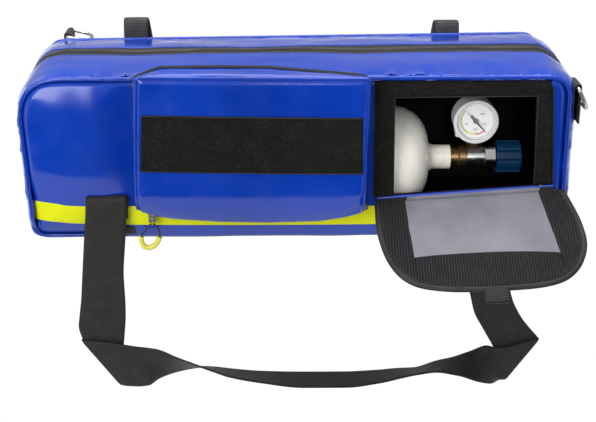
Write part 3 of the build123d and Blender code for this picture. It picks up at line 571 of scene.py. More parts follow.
REAR_LEVEL = spaced(fillet(REAR_CORNERS, [14, 40, 18, 20]), 2.5, True, COUNT)
REAR_OUTLINE = np.array([(x, sagged(x, z)) for x, z in REAR_LEVEL])
OUTWARD, REAR_OUTWARD = outward(OUTLINE), outward(REAR_OUTLINE)
ROLL, ROLL_HEIGHT = 5.0, 24.0
WIDE = 170.0


def split_at(height, right):
    """Index of the outline's point nearest a height on its right or left side."""
    side = OUTLINE[:, 0] > 0 if right else OUTLINE[:, 0] < 0
    return int(np.argmin(np.where(side, np.abs(OUTLINE[:, 1] - height), 1e9)))


def between(first, last):
    """Indices of the outline's points from one to another, anticlockwise."""
    return [(first + k) % COUNT for k in range((last - first) % COUNT + 1)]


LEFT_INDEX, RIGHT_INDEX = split_at(112.0, False), split_at(118.0, True)
LOWER, UPPER = between(LEFT_INDEX, RIGHT_INDEX), between(RIGHT_INDEX, LEFT_INDEX)


def seam_depth(z):
    """Depth of the front seam at a height: the face rolls under towards the base."""
    return ROLL * max(0.0, 1 - z / ROLL_HEIGHT) ** 2


def bump(value, middle, width):
    """1 at the middle, falling smoothly to 0 on both sides of it."""
    return math.exp(-((value - middle) / width) ** 2)


def band_lift(x, z, nx, nz, depth):
    """How far the band round the bag stands out from the outline."""
    arch = max(0.0, 1 - ((depth - WIDE / 2) / 83) ** 2)
    puff = 1 - abs(1 - 2 * depth / WIDE) ** 6
    crown = 7.0 * max(nz, 0) ** 2 + 0.8 * max(-nz, 0) ** 2
    end = 11.0 * puff if nx > 0 else 8.0 * puff - 3.0 * bump(depth, WIDE / 2, 25)
    edge = min(depth, WIDE - depth)
    sewn = ease(2, ROLL_HEIGHT, z)
    front = 1 - ease(60, 110, depth)
    lift = crown * arch + end * nx ** 4 - lerp(1.2, 2.4, front) * bump(edge, 1.0, 2.4) * sewn
    s = x if abs(nz) > 0.7 else z
    pucker = wobble(8.0, s, 3.0) + 0.7 * wobble(5.0, s, 9.0) + 0.25
    reach = math.exp(-max(0.0, edge - 3) / 5.5) * (0.35 + 0.65 * max(nz, abs(nx) * 0.5))
    soft = wobble(75.0, x, depth * 1.4, z) * 1.7 + wobble(32.0, x, depth * 1.5, z + 40) * 0.55
    return lift + lerp(1.0, 4.5, front) * pucker * reach * sewn + soft * min(1.0, edge / 14)


def band_point(i, depth, lift):
    """Point of the band: its corners get squarer from the front to the rear."""
    t = ease(0, WIDE, depth)
    x, z = lerp(OUTLINE[i], REAR_OUTLINE[i], t)
    out = lerp(OUTWARD[i], REAR_OUTWARD[i], t)
    nx, nz = out / np.linalg.norm(out)
    start = seam_depth(z)
    depth = start + depth * (1 - start / WIDE)
    raised = band_lift(x, z, nx, nz, depth) + lift
    return (x + nx * raised, depth, z + nz * raised)


def band(name, indices, depths, lift, materials, thick, body="bag"):
    """Part of the band round the bag, between two depths."""
    points = [band_point(i, depth, lift) for i in indices for depth in depths]
    uvs = [(depth * MM, n * 2.5 * MM) for n in range(len(indices)) for depth in depths]
    return piece(name, points, grid_faces(len(depths), len(indices)), materials, body, uvs=uvs, thick=thick)


EDGE_STEPS = [1.4, 2.2, 3.0, 4.0, 5.2, 6.6]
LEAF_STEPS = [3.2, 4.2, 5.4, 7.0]
LOWER_DEPTHS = EDGE_STEPS + steps(9.0, WIDE - 9.0, 3.5) + [WIDE - d for d in EDGE_STEPS[::-1]]
band("GussetLower", LOWER, LOWER_DEPTHS, 0.0, [BLUE, LINING], 3.5)

ZIP_MIDDLE, ZIP_WIDE = WIDE / 2, 16.5
FRONT_DEPTHS = LEAF_STEPS + steps(9.5, ZIP_MIDDLE - ZIP_WIDE, 3.0)
REAR_DEPTHS = steps(ZIP_MIDDLE + ZIP_WIDE, WIDE - 9.5, 3.0) + [WIDE - d for d in LEAF_STEPS[::-1]]
for side, depths, hinge, low, high, teeth, seam in (
        ("Front", FRONT_DEPTHS, (5.0, 17.0), 66.5, 84.3, 83.4, 65.5),
        ("Rear", REAR_DEPTHS, (WIDE - 5.0, WIDE - 17.0), 85.7, 103.5, 86.6, 104.5)):
    body = f"top_{side.lower()}_leaf"
    leaf = band(f"Top{side}Leaf", UPPER, depths, 0.0, [BLUE, LINING], 2.5, None)
    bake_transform(leaf)
    band(f"Zip{side}Tape", UPPER, steps(low, high, 1.0), -0.9, [ZIP_TAPE, ZIP_TAPE], 0.8, body)
    stitches(f"Zip{side}Teeth", [band_point(i, teeth, -0.5) for i in UPPER], 2.1, 1.5, 2.3, ZIP_TEETH,
             body=body)
    stitches(f"Zip{side}Seam", [band_point(i, seam, 0.1) for i in UPPER], 3.4, 2.4, 0.5, THREAD_BLUE,
             body=body)
for side, indices in (("Left", between(LEFT_INDEX, split_at(96, False))),
                      ("Right", between(split_at(96, True), RIGHT_INDEX))):
    band(f"Zip{side}End", indices, steps(68.0, 102.0, 1.5), 0.5, [ZIP_TAPE, ZIP_TAPE], 0.8)
    for depth in (83.6, 86.4):
        stitches(f"Zip{side}EndTeeth{round(depth)}", [band_point(i, depth, 0.9) for i in indices],
                 2.1, 1.5, 2.2, ZIP_TEETH)

for side, outline, out in (("Front", OUTLINE, OUTWARD), ("Rear", REAR_OUTLINE, REAR_OUTWARD)):
    line = []
    for (x, z), (nx, nz) in zip(outline, out):
        tucked, depth = 0.6, WIDE - 0.6
        if side == "Front":
            tucked, depth = 0.6 + 2.6 * (1 - ease(3, 20, z)), 0.6 + seam_depth(z)
        line.append((x - nx * tucked, depth, z - nz * tucked))
    tube(f"{side}Piping", line,
         lambda i: (2.1 + 0.22 * wobble(6.0, i * 2.5, 5.0)) * (0.12 + 0.88 * ease(2, 20, line[i][2])),
         PIPING, closed=True)


def edge_distance(outline, x, z):
    """Distance from a point of a face to the bag's outline."""
    return float(np.sqrt(((outline - (x, z)) ** 2).sum(axis=1).min()))


def face_bulge(x, z, edge):
    """How far the front face stands out, left of the pocket and round the window."""
    left = 1 - ease(-190, -152, x)
    right = ease(244, 254, x)
    pillow = 10.0 * (1 - math.exp(-edge / 30)) * left
    under = 6.0 * (1 - ease(22, 72, z)) * left
    waves = (0.9 * wobble(60, x, z, 8) + 0.35 * wobble(24, x, z, 2)) * left * min(1.0, edge / 12)
    return pillow - under - 1.6 * right + waves


def face_depth(x, z):
    """Depth of the front face, with the groove beside its seam."""
    edge = edge_distance(OUTLINE, x, z)
    groove = 2.2 * bump(edge, 2.4, 2.2) * ease(2, ROLL_HEIGHT, z)
    return groove + seam_depth(z) - face_bulge(x, z, edge)


def rear_depth(x, z):
    """Depth of the rear face, with the groove beside its seam."""
    edge = edge_distance(REAR_OUTLINE, x, z)
    puff = 3.0 * (1 - math.exp(-edge / 22)) + 1.0 * wobble(70, x, z, 30) + 0.4 * wobble(26, x, z, 12)
    return WIDE - 2.2 * bump(edge, 2.4, 2.2) + puff * min(1.0, edge / 10) - 1.0


def front_surface(x, z, lift):
    """Point that stands lift in front of the bag's front face."""
    return (x, face_depth(x, z) - lift, z)


WINDOW_X, WINDOW_TOP, WINDOW_MIDDLE = (93.0, 229.0), 139.5, 161.0
WINDOW_LOW = 45.75
SLANT = math.tan(math.radians(4))


def window_low(x):
    """Lower edge of the window, which runs along the flap's hinge."""
    inside = max(WINDOW_X[0], min(WINDOW_X[1], x))
    fade = 1 - ease(0, 9, abs(x - inside))
    return WINDOW_LOW + (inside - WINDOW_MIDDLE) * SLANT * fade


WALL_THICK = 4.5
LEFT_CELLS, WINDOW_CELLS, RIGHT_CELLS = 116, 46, 10
WINDOW_END = LEFT_CELLS + WINDOW_CELLS


def wall(name, outline, depth_of, rear):
    """Front or rear wall of the bag as one sheet of points, with the window left out of the front."""
    floor_row = outline[:, 1].min() + 0.1
    low_rows, window_rows = steps(floor_row, WINDOW_LOW, 2.6), steps(WINDOW_LOW, WINDOW_TOP, 3.2)[1:]
    rows = low_rows + window_rows + steps(WINDOW_TOP, outline[:, 1].max() - 0.1, 2.0)[1:]
    low_row = len(low_rows) - 1
    top_row = low_row + len(window_rows)
    points = []
    for z0 in rows:
        x_low, x_high = span(outline, z0, 1)
        edge_x = min(WINDOW_X[1], lerp(WINDOW_X[0], x_high, 0.9))
        xs = list(np.linspace(x_low, WINDOW_X[0], LEFT_CELLS + 1))
        xs += list(np.linspace(WINDOW_X[0], edge_x, WINDOW_CELLS + 1))[1:]
        xs += list(np.linspace(edge_x, x_high, RIGHT_CELLS + 1))[1:]
        for x in xs:
            z = z0
            low = WINDOW_LOW if rear else window_low(x)
            if z0 <= WINDOW_LOW:
                z = floor_row + (z0 - floor_row) * (low - floor_row) / (WINDOW_LOW - floor_row)
            elif z0 < WINDOW_TOP:
                z = low + (z0 - WINDOW_LOW) * (WINDOW_TOP - low) / (WINDOW_TOP - WINDOW_LOW)
            z = sagged(x, z) if rear else z
            points.append((x, depth_of(x, z), z))

    def in_window(i, j):
        return not rear and LEFT_CELLS <= i < WINDOW_END and low_row <= j < top_row

    piece(name, points, grid_faces(WINDOW_END + RIGHT_CELLS + 1, len(rows), skip=in_window, flip=rear),
          [BLUE, LINING], thick=WALL_THICK, rim=0 if rear else 1)


def inset_outline(outline, out, inset, top_inset):
    """The outline moved in, by less at the bottom, where the walls roll under."""
    share = np.array([[lerp(0.5, lerp(inset, top_inset, max(0, nz)), ease(3, 22, z))]
                      for (_, z), (_, nz) in zip(outline, out)])
    return outline - out * share


wall("FrontWall", inset_outline(OUTLINE, OUTWARD, 2.2, 2.6), face_depth, False)
wall("RearWall", inset_outline(REAR_LEVEL, REAR_OUTWARD, 0.8, 2.4), rear_depth, True)

# ---------------------------------------------------------------- stripe and tapes on the front

STRIPE_LINE = [(-252.5, 16.8), (-230.0, 14.8), (-201.0, 12.6), (-60.0, 10.8), (73.0, 10.8), (180.0, 12.6),
               (215.0, 19.0), (236.0, 32.0)]
STRIPE_WIDE = 20.0
stripe_low = spline(STRIPE_LINE, 3.0)
points = []
for x, z in stripe_low:
    for k in range(9):
        t = k / 8
        lift = 0.15 + 0.5 * math.sqrt(min(1.0, min(t, 1 - t) * 12))
        points.append(front_surface(x, z + STRIPE_WIDE * t, lift))
piece("ReflectiveStripe", points, grid_faces(9, len(stripe_low), flip=True), [STRIPE])

TAPE_THICK = 1.3
for side, thick, corners in (
        ("Left", TAPE_THICK, [(75.5, 37.5), (94.0, 40.4), (92.4, 139.8), (73.5, 154.6)]),
        ("Right", TAPE_THICK, [(228.6, 50.4), (246.5, 51.8), (239.5, 149.0), (223.8, 153.6)]),
        ("Top", TAPE_THICK - 0.25, [(74.0, 139.6), (239.0, 139.8), (238.0, 154.8), (73.4, 155.0)])):
    patch(f"FrameTape{side}", corners, front_surface, thick, LOOP_TAPE, 1.5, 0.16)
for n, line in enumerate((
        [(93.6, 41.5), (92.2, 139.2)], [(92.4, 139.4), (226.5, 140.2)], [(228.4, 51.4), (226.3, 140.0)],
        [(75.0, 39.0), (73.2, 154.0)], [(246.6, 53.0), (239.8, 149.0)])):
    route = [front_surface(x, z, TAPE_THICK * 0.85) for x, z in spaced(line, 4.0)]
    tube(f"FrameSelvedge{n}", route, 0.55, SELVEDGE, sides=6)

# ---------------------------------------------------------------- front pocket

POCKET_LOW = [(-150, 37.0), (-143, 33.0), (-128, 28.8), (-112, 26.6), (-73, 23.6), (-26, 22.4), (21, 23.6),
              (45, 27.2), (60, 31.2), (66, 36.0)]
POCKET_BACK_TOP = [(-154, 156.0), (-148, 161.0), (-134, 166.6), (-125, 169.6), (-70, 170.0), (-25, 169.2),
                   (6, 166.4), (40, 163.4), (62, 161.0), (70, 157.0)]
POCKET_FACE = -31.0


def along_line(line, x):
    """Height of a line of points at x."""
    return float(np.interp(x, [p[0] for p in line], [p[1] for p in line]))


def pocket_edges(w):
    """Left and right edge of the pocket's face at a share of its height."""
    return -149.6 + 6.0 * w - 0.8 * math.sin(math.pi * w), 63.6 + 1.8 * w - 0.9 * math.sin(math.pi * w)


def pocket_share(x):
    """Share of the way across the pocket's top edge."""
    return (x + 143.5) / 209


def pocket_top(x):
    """Height of the pocket's top edge."""
    return 166.4 - 2.0 * pocket_share(x)


def pocket_depth(x, z):
    """Depth of the pocket's face: gently domed, turning under at the bottom."""
    low, high = along_line(POCKET_LOW, x), pocket_top(x)
    w = (z - low) / (high - low)
    x_low, x_high = pocket_edges(w)
    u = (x - x_low) / (x_high - x_low)
    dome = 1.6 * math.sin(math.pi * min(1, max(0, u))) * math.sin(math.pi * min(1, max(0, w))) ** 0.6
    turn = max(0.0, min(1.0, (57 - z) / (57 - low + 1e-6)))
    side = min(x - x_low, x_high - x, high - z)
    roll = 2.0 * math.exp(-(max(0.0, side) / 2.0) ** 1.5)
    soft = 0.45 * wobble(48, x, z, 5) + 0.14 * wobble(15, x, z, 6)
    crumple = 1.7 * wobble(6.5, x, z * 0.9, 11) * (1 - ease(-148, -137, x)) * (1 - ease(50, 92, z))
    return POCKET_FACE - dome + 9.5 * turn * turn + roll - soft - crumple


def pocket_surface(x, z, lift):
    """Point that stands lift in front of the pocket's face."""
    return (x, pocket_depth(x, z) - lift, z)


us = [0, 0.004, 0.009, 0.016, 0.025] + steps(0.04, 0.96, 0.0125) + [0.975, 0.984, 0.991, 0.996, 1]
ws = [0, 0.012] + steps(0.025, 0.975, 0.017) + [0.985, 0.993, 1]
face_points = []
for w in ws:
    for u in us:
        x = lerp(*pocket_edges(w), u)
        z = lerp(along_line(POCKET_LOW, x), pocket_top(x), w)
        face_points.append((x, pocket_depth(x, z), z))
across, along = len(us), len(ws)
points, faces = list(face_points), grid_faces(across, along)
sides = [("left", j * across) for j in range(along)]
sides += [("top", (along - 1) * across + i) for i in range(1, across)]
sides += [("right", j * across + across - 1) for j in range(along - 2, -1, -1)]
sewn_sides = len(sides)
sides += [("low", i) for i in range(across - 2, 0, -1)]
SIDE_OUT = {"left": (-1, 0), "right": (1, 0), "top": (0, 1), "low": (0, -1)}


def pocket_back(side, p):
    """Where the pocket's wall meets the bag, behind a point of its face's edge."""
    x, _, z = p
    if side == "left":
        return (-152.5, -3.2, lerp(40.5, along_line(POCKET_BACK_TOP, -150), (z - 37) / 129))
    if side == "right":
        return (68.4, -3.2, lerp(31.0, along_line(POCKET_BACK_TOP, 68), (z - 36) / 128))
    if side == "top":
        back_x = lerp(-152.0, 68.0, pocket_share(x))
        return (back_x, -3.2, along_line(POCKET_BACK_TOP, back_x))
    return (lerp(-151.0, 67.5, (x + 150) / 216), -1.5, 29.5 + 13 * (1 - ease(-151, -132, x)))


previous = [index for _, index in sides]
for r in (0.05, 0.10, 0.16, 0.22, 0.28, 0.35, 0.44, 0.55, 0.66, 0.77, 0.88, 1.0):
    folds = 1.1 * bump(r, 0.27, 0.09) - 1.4 * bump(r, 0.10, 0.07)
    middle = math.sin(math.pi * r)
    current = list(range(len(points), len(points) + len(sides)))
    for side, index in sides:
        p, out = face_points[index], SIDE_OUT[side]
        x, depth, z = (lerp(a, b, r) for a, b in zip(p, pocket_back(side, p)))
        swell = 1.5 * middle * (0.3 + 0.7 * ease(45, 75, p[2])) + folds
        swell += 0.8 * wobble(16, p[0] + p[2], r * 26, 3) * middle
        points.append((x + out[0] * swell, depth, z + out[1] * swell))
    for n in range(len(sides)):
        m = (n + 1) % len(sides)
        faces.append([previous[n], previous[m], current[m], current[n]])
    previous = current
pocket_body = piece("PocketBody", points, faces, [BLUE, LINING], None, thick=1.4)
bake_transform(pocket_body)
rim_route, zip_line = [], []
for side, index in sides[:sewn_sides]:
    (x, depth, z), out = face_points[index], SIDE_OUT[side]
    rim_route.append((x + 0.5 * out[0], depth + 0.3, z + 0.7 * out[1]))
    zip_line.append((pocket_back(side, face_points[index]), out))
rim = tube("PocketPiping", spaced(rim_route, 2.0), lambda i: 1.5 + 0.25 * wobble(7, i * 2.0, 4), PIPING,
           sides=8, body=None)
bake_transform(rim)
# The pocket's zip and rim: a real zip, in the darker tape copy as painted shade of the groove between pocket
# and bag; only 0.25 out on the sides, a thin dark line there
for name, body, near, far in (("PocketZipTape", None, -6.6, -3.4), ("PocketZipRim", "bag", -3.1, 0.4)):
    points = []
    for (x, _, z), out in zip_line:
        for depth in (near, (near + far) / 2, far):
            points.append((x + out[0] * 0.25, depth, z + out[1]))
    ring = piece(name, points, grid_faces(3, len(zip_line), flip=True), [ZIP_TAPE_PAINTED_SHADE, ZIP_TAPE_PAINTED_SHADE], body,
                 uvs=[(k % 3 * 0.0017, k // 3 * 0.002) for k in range(len(points))], thick=1.2)
    if body is None:
        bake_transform(ring)
label_corners = [(-144.6, 78.4), (62.0, 74.6), (61.0, 129.6), (-141.0, 133.0)]
patch("PocketLabelTape", label_corners, pocket_surface, TAPE_THICK, LOOP_TAPE, 1.6, 0.2, body="pocket_lid")
for n, ends, inward in ((0, label_corners[:2], 0.6), (1, label_corners[:1:-1], -0.6)):
    tube(f"LabelSelvedge{n}", [pocket_surface(x, z + inward, 1.15) for x, z in spaced(ends, 4.0)], 0.6,
         SELVEDGE, sides=6, body="pocket_lid")

# ---------------------------------------------------------------- window flap

tilt, droop = math.radians(4), math.radians(30)
HINGE_DIR = np.array((math.cos(tilt), 0, math.sin(tilt)))
HANG = np.array((0, -math.cos(droop), -math.sin(droop)))
HANG = HANG - HINGE_DIR * HANG.dot(HINGE_DIR)
HANG /= np.linalg.norm(HANG)
INNER = np.cross(HANG, HINGE_DIR)
FLAP_ORIGIN = np.array((78.0, -4.7, 36.0))


def flap_surface(u, v, lift):
    """Point of the flap: u along its hinge, v down it, lift towards its inner side."""
    sag = 1.4 * math.sin(math.pi * min(1, max(0, v / 112))) * math.sin(math.pi * min(1, max(0, u / 180)))
    soft = (0.9 * wobble(60, u, v, 3) + 0.25 * wobble(22, u, v, 7)) * ease(0, 20, v)
    return tuple(FLAP_ORIGIN + HINGE_DIR * u + HANG * v + INNER * (lift + soft - sag * ease(0, 12, v)))


FLAP_EDGE = [(-2.4, 0.5, 0), (-3.0, 38, 0), (4.5, 74, 0), (21, 97, 0), (50, 107, 0), (96, 111, 0),
             (146, 109.5, 0), (172, 98, 0), (187, 72, 0), (188, 42, 0), (179, 0.5, 0)]
FLAP_OUTLINE = spaced(spline(FLAP_EDGE, 2.0)[:, :2], 2.0, True)
VINYL_TOP = 1.4


def edge_of_flap(v, side):
    """The flap's left (0) or right (1) edge at a distance down it."""
    return span(FLAP_OUTLINE, v, 1)[side]


def window_edge(v):
    """Left and right edge of the vinyl window."""
    return 26.3 + v * 0.028, 153.6 + v * 0.117


HOLE_LOW, HOLE_HIGH = 7.0, 64.0
SIDE_CELLS, HOLE_CELLS = 12, 60
above_hole, beside_hole = steps(0.8, HOLE_LOW, 2.0), steps(HOLE_LOW, HOLE_HIGH, 2.2)
levels = above_hole + beside_hole[1:] + steps(HOLE_HIGH, 111.0, 2.2)[1:]
points, uvs = [], []
for v in levels:
    u_low, u_high = span(FLAP_OUTLINE, v, 1)
    left, right = window_edge(v)
    left, right = max(left + 2.5, u_low + 2), min(right - 2.5, u_high - 2)
    row = list(np.linspace(u_low + 0.5, left, SIDE_CELLS + 1))
    row += list(np.linspace(left, right, HOLE_CELLS + 1))[1:]
    row += list(np.linspace(right, u_high - 0.5, SIDE_CELLS + 1))[1:]
    points += [flap_surface(u, v, 1.0) for u in row]
    uvs += [(u * MM, v * MM) for u in row]


def in_hole(i, j):
    return (SIDE_CELLS <= i < SIDE_CELLS + HOLE_CELLS
            and len(above_hole) - 1 <= j < len(above_hole) + len(beside_hole) - 2)


piece("FlapPanel", points, grid_faces(2 * SIDE_CELLS + HOLE_CELLS + 1, len(levels), skip=in_hole, flip=True),
      [BINDING, BLUE], "window_flap", "pvc_blue", uvs=uvs, thick=2.0)

VINYL_CELLS = 64
levels = steps(VINYL_TOP, 80.0, 2.0)
points = []
for v in levels:
    left, right = window_edge(v)
    for k in range(VINYL_CELLS + 1):
        u = lerp(left - 2.0, right + 2.0, k / VINYL_CELLS)
        ripple = 0.5 * wobble(26, u, v, 21) + 0.2 * wobble(10, u, v, 22)
        points.append(flap_surface(u, v, 1.7 + ripple * 0.8))
piece("FlapWindow", points, grid_faces(VINYL_CELLS + 1, len(levels), flip=True), [VINYL, VINYL],
      "window_flap", thick=0.6)

TAPE_INSET = 5.2


def left_tape(v):
    """Left and right edge of the hook tape on the window's left."""
    edge = edge_of_flap(v, 0) + TAPE_INSET
    return edge, max(window_edge(v)[0], edge + 1)


def right_tape(v):
    """Left and right edge of the hook tape on the window's right."""
    return window_edge(v)[1], edge_of_flap(v, 1) - TAPE_INSET


def low_tape(u):
    """Upper and lower edge of the hook tape below the window."""
    return (68.0 + 0.0463 * (u - 97.2) + 0.000965 * (u - 97.2) ** 2,
            span(FLAP_OUTLINE, u, 0)[1] - TAPE_INSET)


def hook_tape(name, edges, ends, cells, lift, thick, margin, turned=False):
    """Hook tape between two edges, stepped down the flap, or along its hinge where it is turned."""
    points, uvs = [], []
    levels = steps(*ends, 2.0)
    for level in levels:
        low, high = edges(level)
        for k in range(cells + 1):
            across = lerp(low, high, k / cells)
            gap = min(across - low, high - across, level - ends[0] + margin, ends[1] - level + margin)
            u, v = (level, across) if turned else (across, level)
            rounded = math.sqrt(min(1, max(0, gap) / EDGE_ROUND)) - 1
            points.append(flap_surface(u, v, lift + thick * rounded))
            uvs.append((across * MM, level * MM))
    piece(f"HookTape{name}", points, grid_faces(cells + 1, len(levels), flip=not turned),
          [HOOK_TAPE], "window_flap", uvs=uvs)


hook_tape("Left", left_tape, (VINYL_TOP, 101.0), 14, 2.6, 0.9, 0.3)
hook_tape("Right", right_tape, (VINYL_TOP, 103.0), 16, 2.6, 0.9, 0.3)
hook_tape("Low", low_tape, (28.2, 162.5), 16, 3.05, 0.95, 0.2, True)

# The outline from one end of the hinge, round the free edges
start = int(np.argmin(((FLAP_OUTLINE - (179, 0.5)) ** 2).sum(axis=1)))
ordered = np.roll(FLAP_OUTLINE, -start, axis=0)
if ordered[3][1] < 3:
    ordered = ordered[::-1]
FLAP_CENTRE = np.array((95.0, 50.0))


def flap_route(inset, lift):
    """Route round the flap's free edges, moved in from the edge."""
    ahead = directions(ordered)
    inward = np.stack([-ahead[:, 1], ahead[:, 0]], axis=1)
    inward = inward * np.sign(((FLAP_CENTRE - ordered) * inward).sum(axis=1, keepdims=True))
    return [flap_surface(*p, lift) for p, (_, v) in zip(ordered + inward * inset, ordered) if v > 1.5]


tube("FlapBinding", flap_route(2.6, 0.4), 3.1, BINDING, side=tuple(INNER), sides=14, flat=0.72,
     body="window_flap")
stitches("FlapBindingSeam", flap_route(5.6, 2.3), 3.6, 2.4, 0.8, THREAD, body="window_flap")
for n, (a, b) in enumerate((((24.5, 3), (27.5, 100)), ((31.0, 73), (32.5, 102)), ((156.0, 3), (165.5, 96)),
                            ((160.0, 78), (161.5, 104)))):
    line = [flap_surface(u, v, 2.8) for u, v in spaced([a, b], 3.0)]
    stitches(f"FlapTapeSeam{n}", line, 3.2, 2.0, 0.5, THREAD, body="window_flap")

TAB_SECTION = [(107, 1.6, 0), (112, 2.4, 0), (117, 2.2, 0), (121, 1.4, 0), (123.4, 0.6, 0), (124, -0.4, 0),
               (123, -1.2, 0), (118, -1.6, 0), (112, -1.8, 0), (107, -1.6, 0)]
tab_left, tab_right = ([flap_surface(u, v, lift) for v, lift, _ in spline(TAB_SECTION, 1.0)]
                       for u in (86.5, 109.0))
ribbon("FlapPullTab", tab_left, tab_right, 1.2, WEBBING, body="window_flap")

# Strip that joins the flap to the bag, across the hinge
SILL_SIDE = ((-0.3, 0.2), (-1.4, 0.5), (-2.2, 1.5), (-3.3, 3.0))
FLAP_SIDE = ((1.0, 1.5), (2.4, 1.1), (6.2, 1.0))
STRIP_ROWS = len(SILL_SIDE + FLAP_SIDE)
points = []
strip_us = steps(-1.5, 171.0, 2.5)
for u in strip_us:
    x = FLAP_ORIGIN[0] + u * math.cos(tilt)
    sill = WINDOW_LOW + (x - WINDOW_MIDDLE) * SLANT
    points += [(x, depth, sill - drop) for depth, drop in SILL_SIDE]
    points += [flap_surface(u, v, lift) for v, lift in FLAP_SIDE]
strip = piece("FlapHingeStrip", points, grid_faces(STRIP_ROWS, len(strip_us)), [BLUE, VINYL, HOOK_TAPE],
              None)
for polygon in strip.data.polygons:
    u, row = strip_us[polygon.index // (STRIP_ROWS - 1)], polygon.index % (STRIP_ROWS - 1)
    over_window = window_edge(0)[0] < u < window_edge(0)[1]
    polygon.material_index = 0 if row < 2 else 1 if over_window else 2
solid = strip.modifiers.new("Solid", "SOLIDIFY")
solid.thickness, solid.offset = 0.7 * MM, -1.0
at(flap_surface(83, 5, 1.4))
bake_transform(strip)

# ---------------------------------------------------------------- carry strap


STRAP_WIDE = 39


def pair_route(pairs, step):
    """Both edges of a strap between its stations, without overshoot at the folds."""
    stations = np.array(pairs, float)
    gaps = np.maximum(np.linalg.norm(np.diff(stations, axis=0), axis=1), 1e-6)
    slopes = np.diff(stations, axis=0) / gaps[:, None]
    before, after = slopes[:-1], slopes[1:]
    same = before * after > 0
    total = np.where(same, before + after, 1.0)
    tangents = np.vstack([slopes[0], np.where(same, 2 * before * after / total, 0.0), slopes[-1]])
    route = []
    for n, gap in enumerate(gaps):
        for t in np.linspace(0, 1, max(1, int(round(gap / 1.41 / step))), endpoint=False):
            here = (2 * t ** 3 - 3 * t ** 2 + 1) * stations[n] + (t ** 3 - 2 * t ** 2 + t) * gap * tangents[n]
            there = (3 * t ** 2 - 2 * t ** 3) * stations[n + 1] + (t ** 3 - t ** 2) * gap * tangents[n + 1]
            route.append(here + there)
    route = np.array([*route, stations[-1]])
    return route[:, :3], route[:, 3:]


def run(x, z, turn, depth=-11.5):
    """The strap's two edges along its run.

    turn is 90 where it stands upright, first edge up, 180 where it lies level with its first edge to the
    front, and 270 where it stands with its first edge down.
    """
    a = math.radians(turn)
    up, back = math.sin(a) * STRAP_WIDE / 2, math.cos(a) * STRAP_WIDE / 2
    return (x, depth + back, z + up, x, depth - back, z - up)


# Stations of the strap: the first edge's x, depth and height, then the second edge's
LEG_LEFT = [(-199.8, -2, 43.5, -160.6, -2, 43.5), (-200.2, -5.2, 43, -160.8, -5.2, 43),
            (-200.6, -7.8, 39, -161.2, -7.8, 39), (-201.8, -8.6, 25.6, -162.4, -8.6, 25.6),
            (-204.9, -8.3, -1, -165, -8.3, -1), (-209.4, -8, -41.8, -168.6, -8, -41.8),
            (-211.8, -8, -64, -168.4, -8, -64), (-214.7, -7, -82, -169, -7, -82),
            (-216.4, -6.5, -95, -170.6, -6.5, -98), (-213.6, -8.2, -105.8, -172.4, -8.2, -114)]
FOLD_LEFT = [(-213, -9, -106.5, -177, -9, -157), (-213.6, -10.8, -107, -177.4, -10.8, -157.8),
             (-213, -12.6, -106.8, -177, -12.6, -157.6)]
RUN = [(-190, -13, -108.8, -172, -13.4, -158.4), (-172, -13.2, -111.6, -160, -14.4, -158.6),
       (-156, -13.2, -114.4, -149, -15, -157.2), run(-138.1, -134.7, 104), run(-118.8, -135.4, 130),
       run(-94.4, -138.6, 151), run(-80.4, -142, 158), run(-67, -145.6, 163), run(-34.8, -150.7, 168),
       run(7.8, -154.2, 174), run(49.6, -154.4, 174), run(82, -151.4, 170), run(105.2, -147.2, 165, -12),
       run(120.4, -144.6, 161, -13), run(142.5, -138, 168, -16), run(158, -135.4, 178, -20),
       run(176, -132.8, 200, -24), run(192, -132.6, 228, -22)]
FOLD_RIGHT = [(206, -13.6, -155, 205, -13.2, -119), (211, -12.6, -155.4, 228, -12.6, -113.2),
              (211.6, -12.6, -155.2, 242.6, -12.6, -109.5), (212, -10.8, -155.4, 243.2, -10.8, -109.5),
              (211.6, -9, -155, 242.6, -9, -109.3)]
LEG_RIGHT = [(207.4, -8.6, -143, 241.4, -8.6, -107.8), (198.3, -8.2, -120.3, 233.4, -8.2, -98.6),
             (186.6, -8, -99, 224.6, -8, -87), (177.1, -8, -80.9, 215.2, -8, -69),
             (171.6, -8, -60, 210.8, -8, -55), (162, -8.2, -30, 201, -8.2, -26),
             (150, -8.4, 6, 189.4, -8.4, 8), (143, -7.6, 29, 182.6, -7.6, 29), (141.4, -5, 34, 181, -5, 34),
             (141, -2, 34.6, 180.6, -2, 34.6)]
ribbon_edges = pair_route(LEG_LEFT + FOLD_LEFT + RUN + FOLD_RIGHT + LEG_RIGHT, 1.8)
carry_strap = ribbon("CarryStrap", *ribbon_edges, 2.0, WEBBING, 16, body=None)
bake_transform(carry_strap)
for name, corners, thick, step in (
        ("StrapAnchorLeft", [(-200, 18), (-161, 18), (-161, 41), (-200, 41)], 1.4, 2.0),
        ("StrapAnchorRight", [(142, 14), (181, 14), (181, 34), (142, 34)], 1.4, 2.0),
        ("StrapBaseTab", [(-168, 0.8), (-155.5, 0.8), (-156.5, 10.4), (-168, 10.8)], 1.0, 1.5)):
    patch(name, corners, front_surface, thick, WEBBING_DARK, step)

# ---------------------------------------------------------------- loops, ring tabs and inner straps

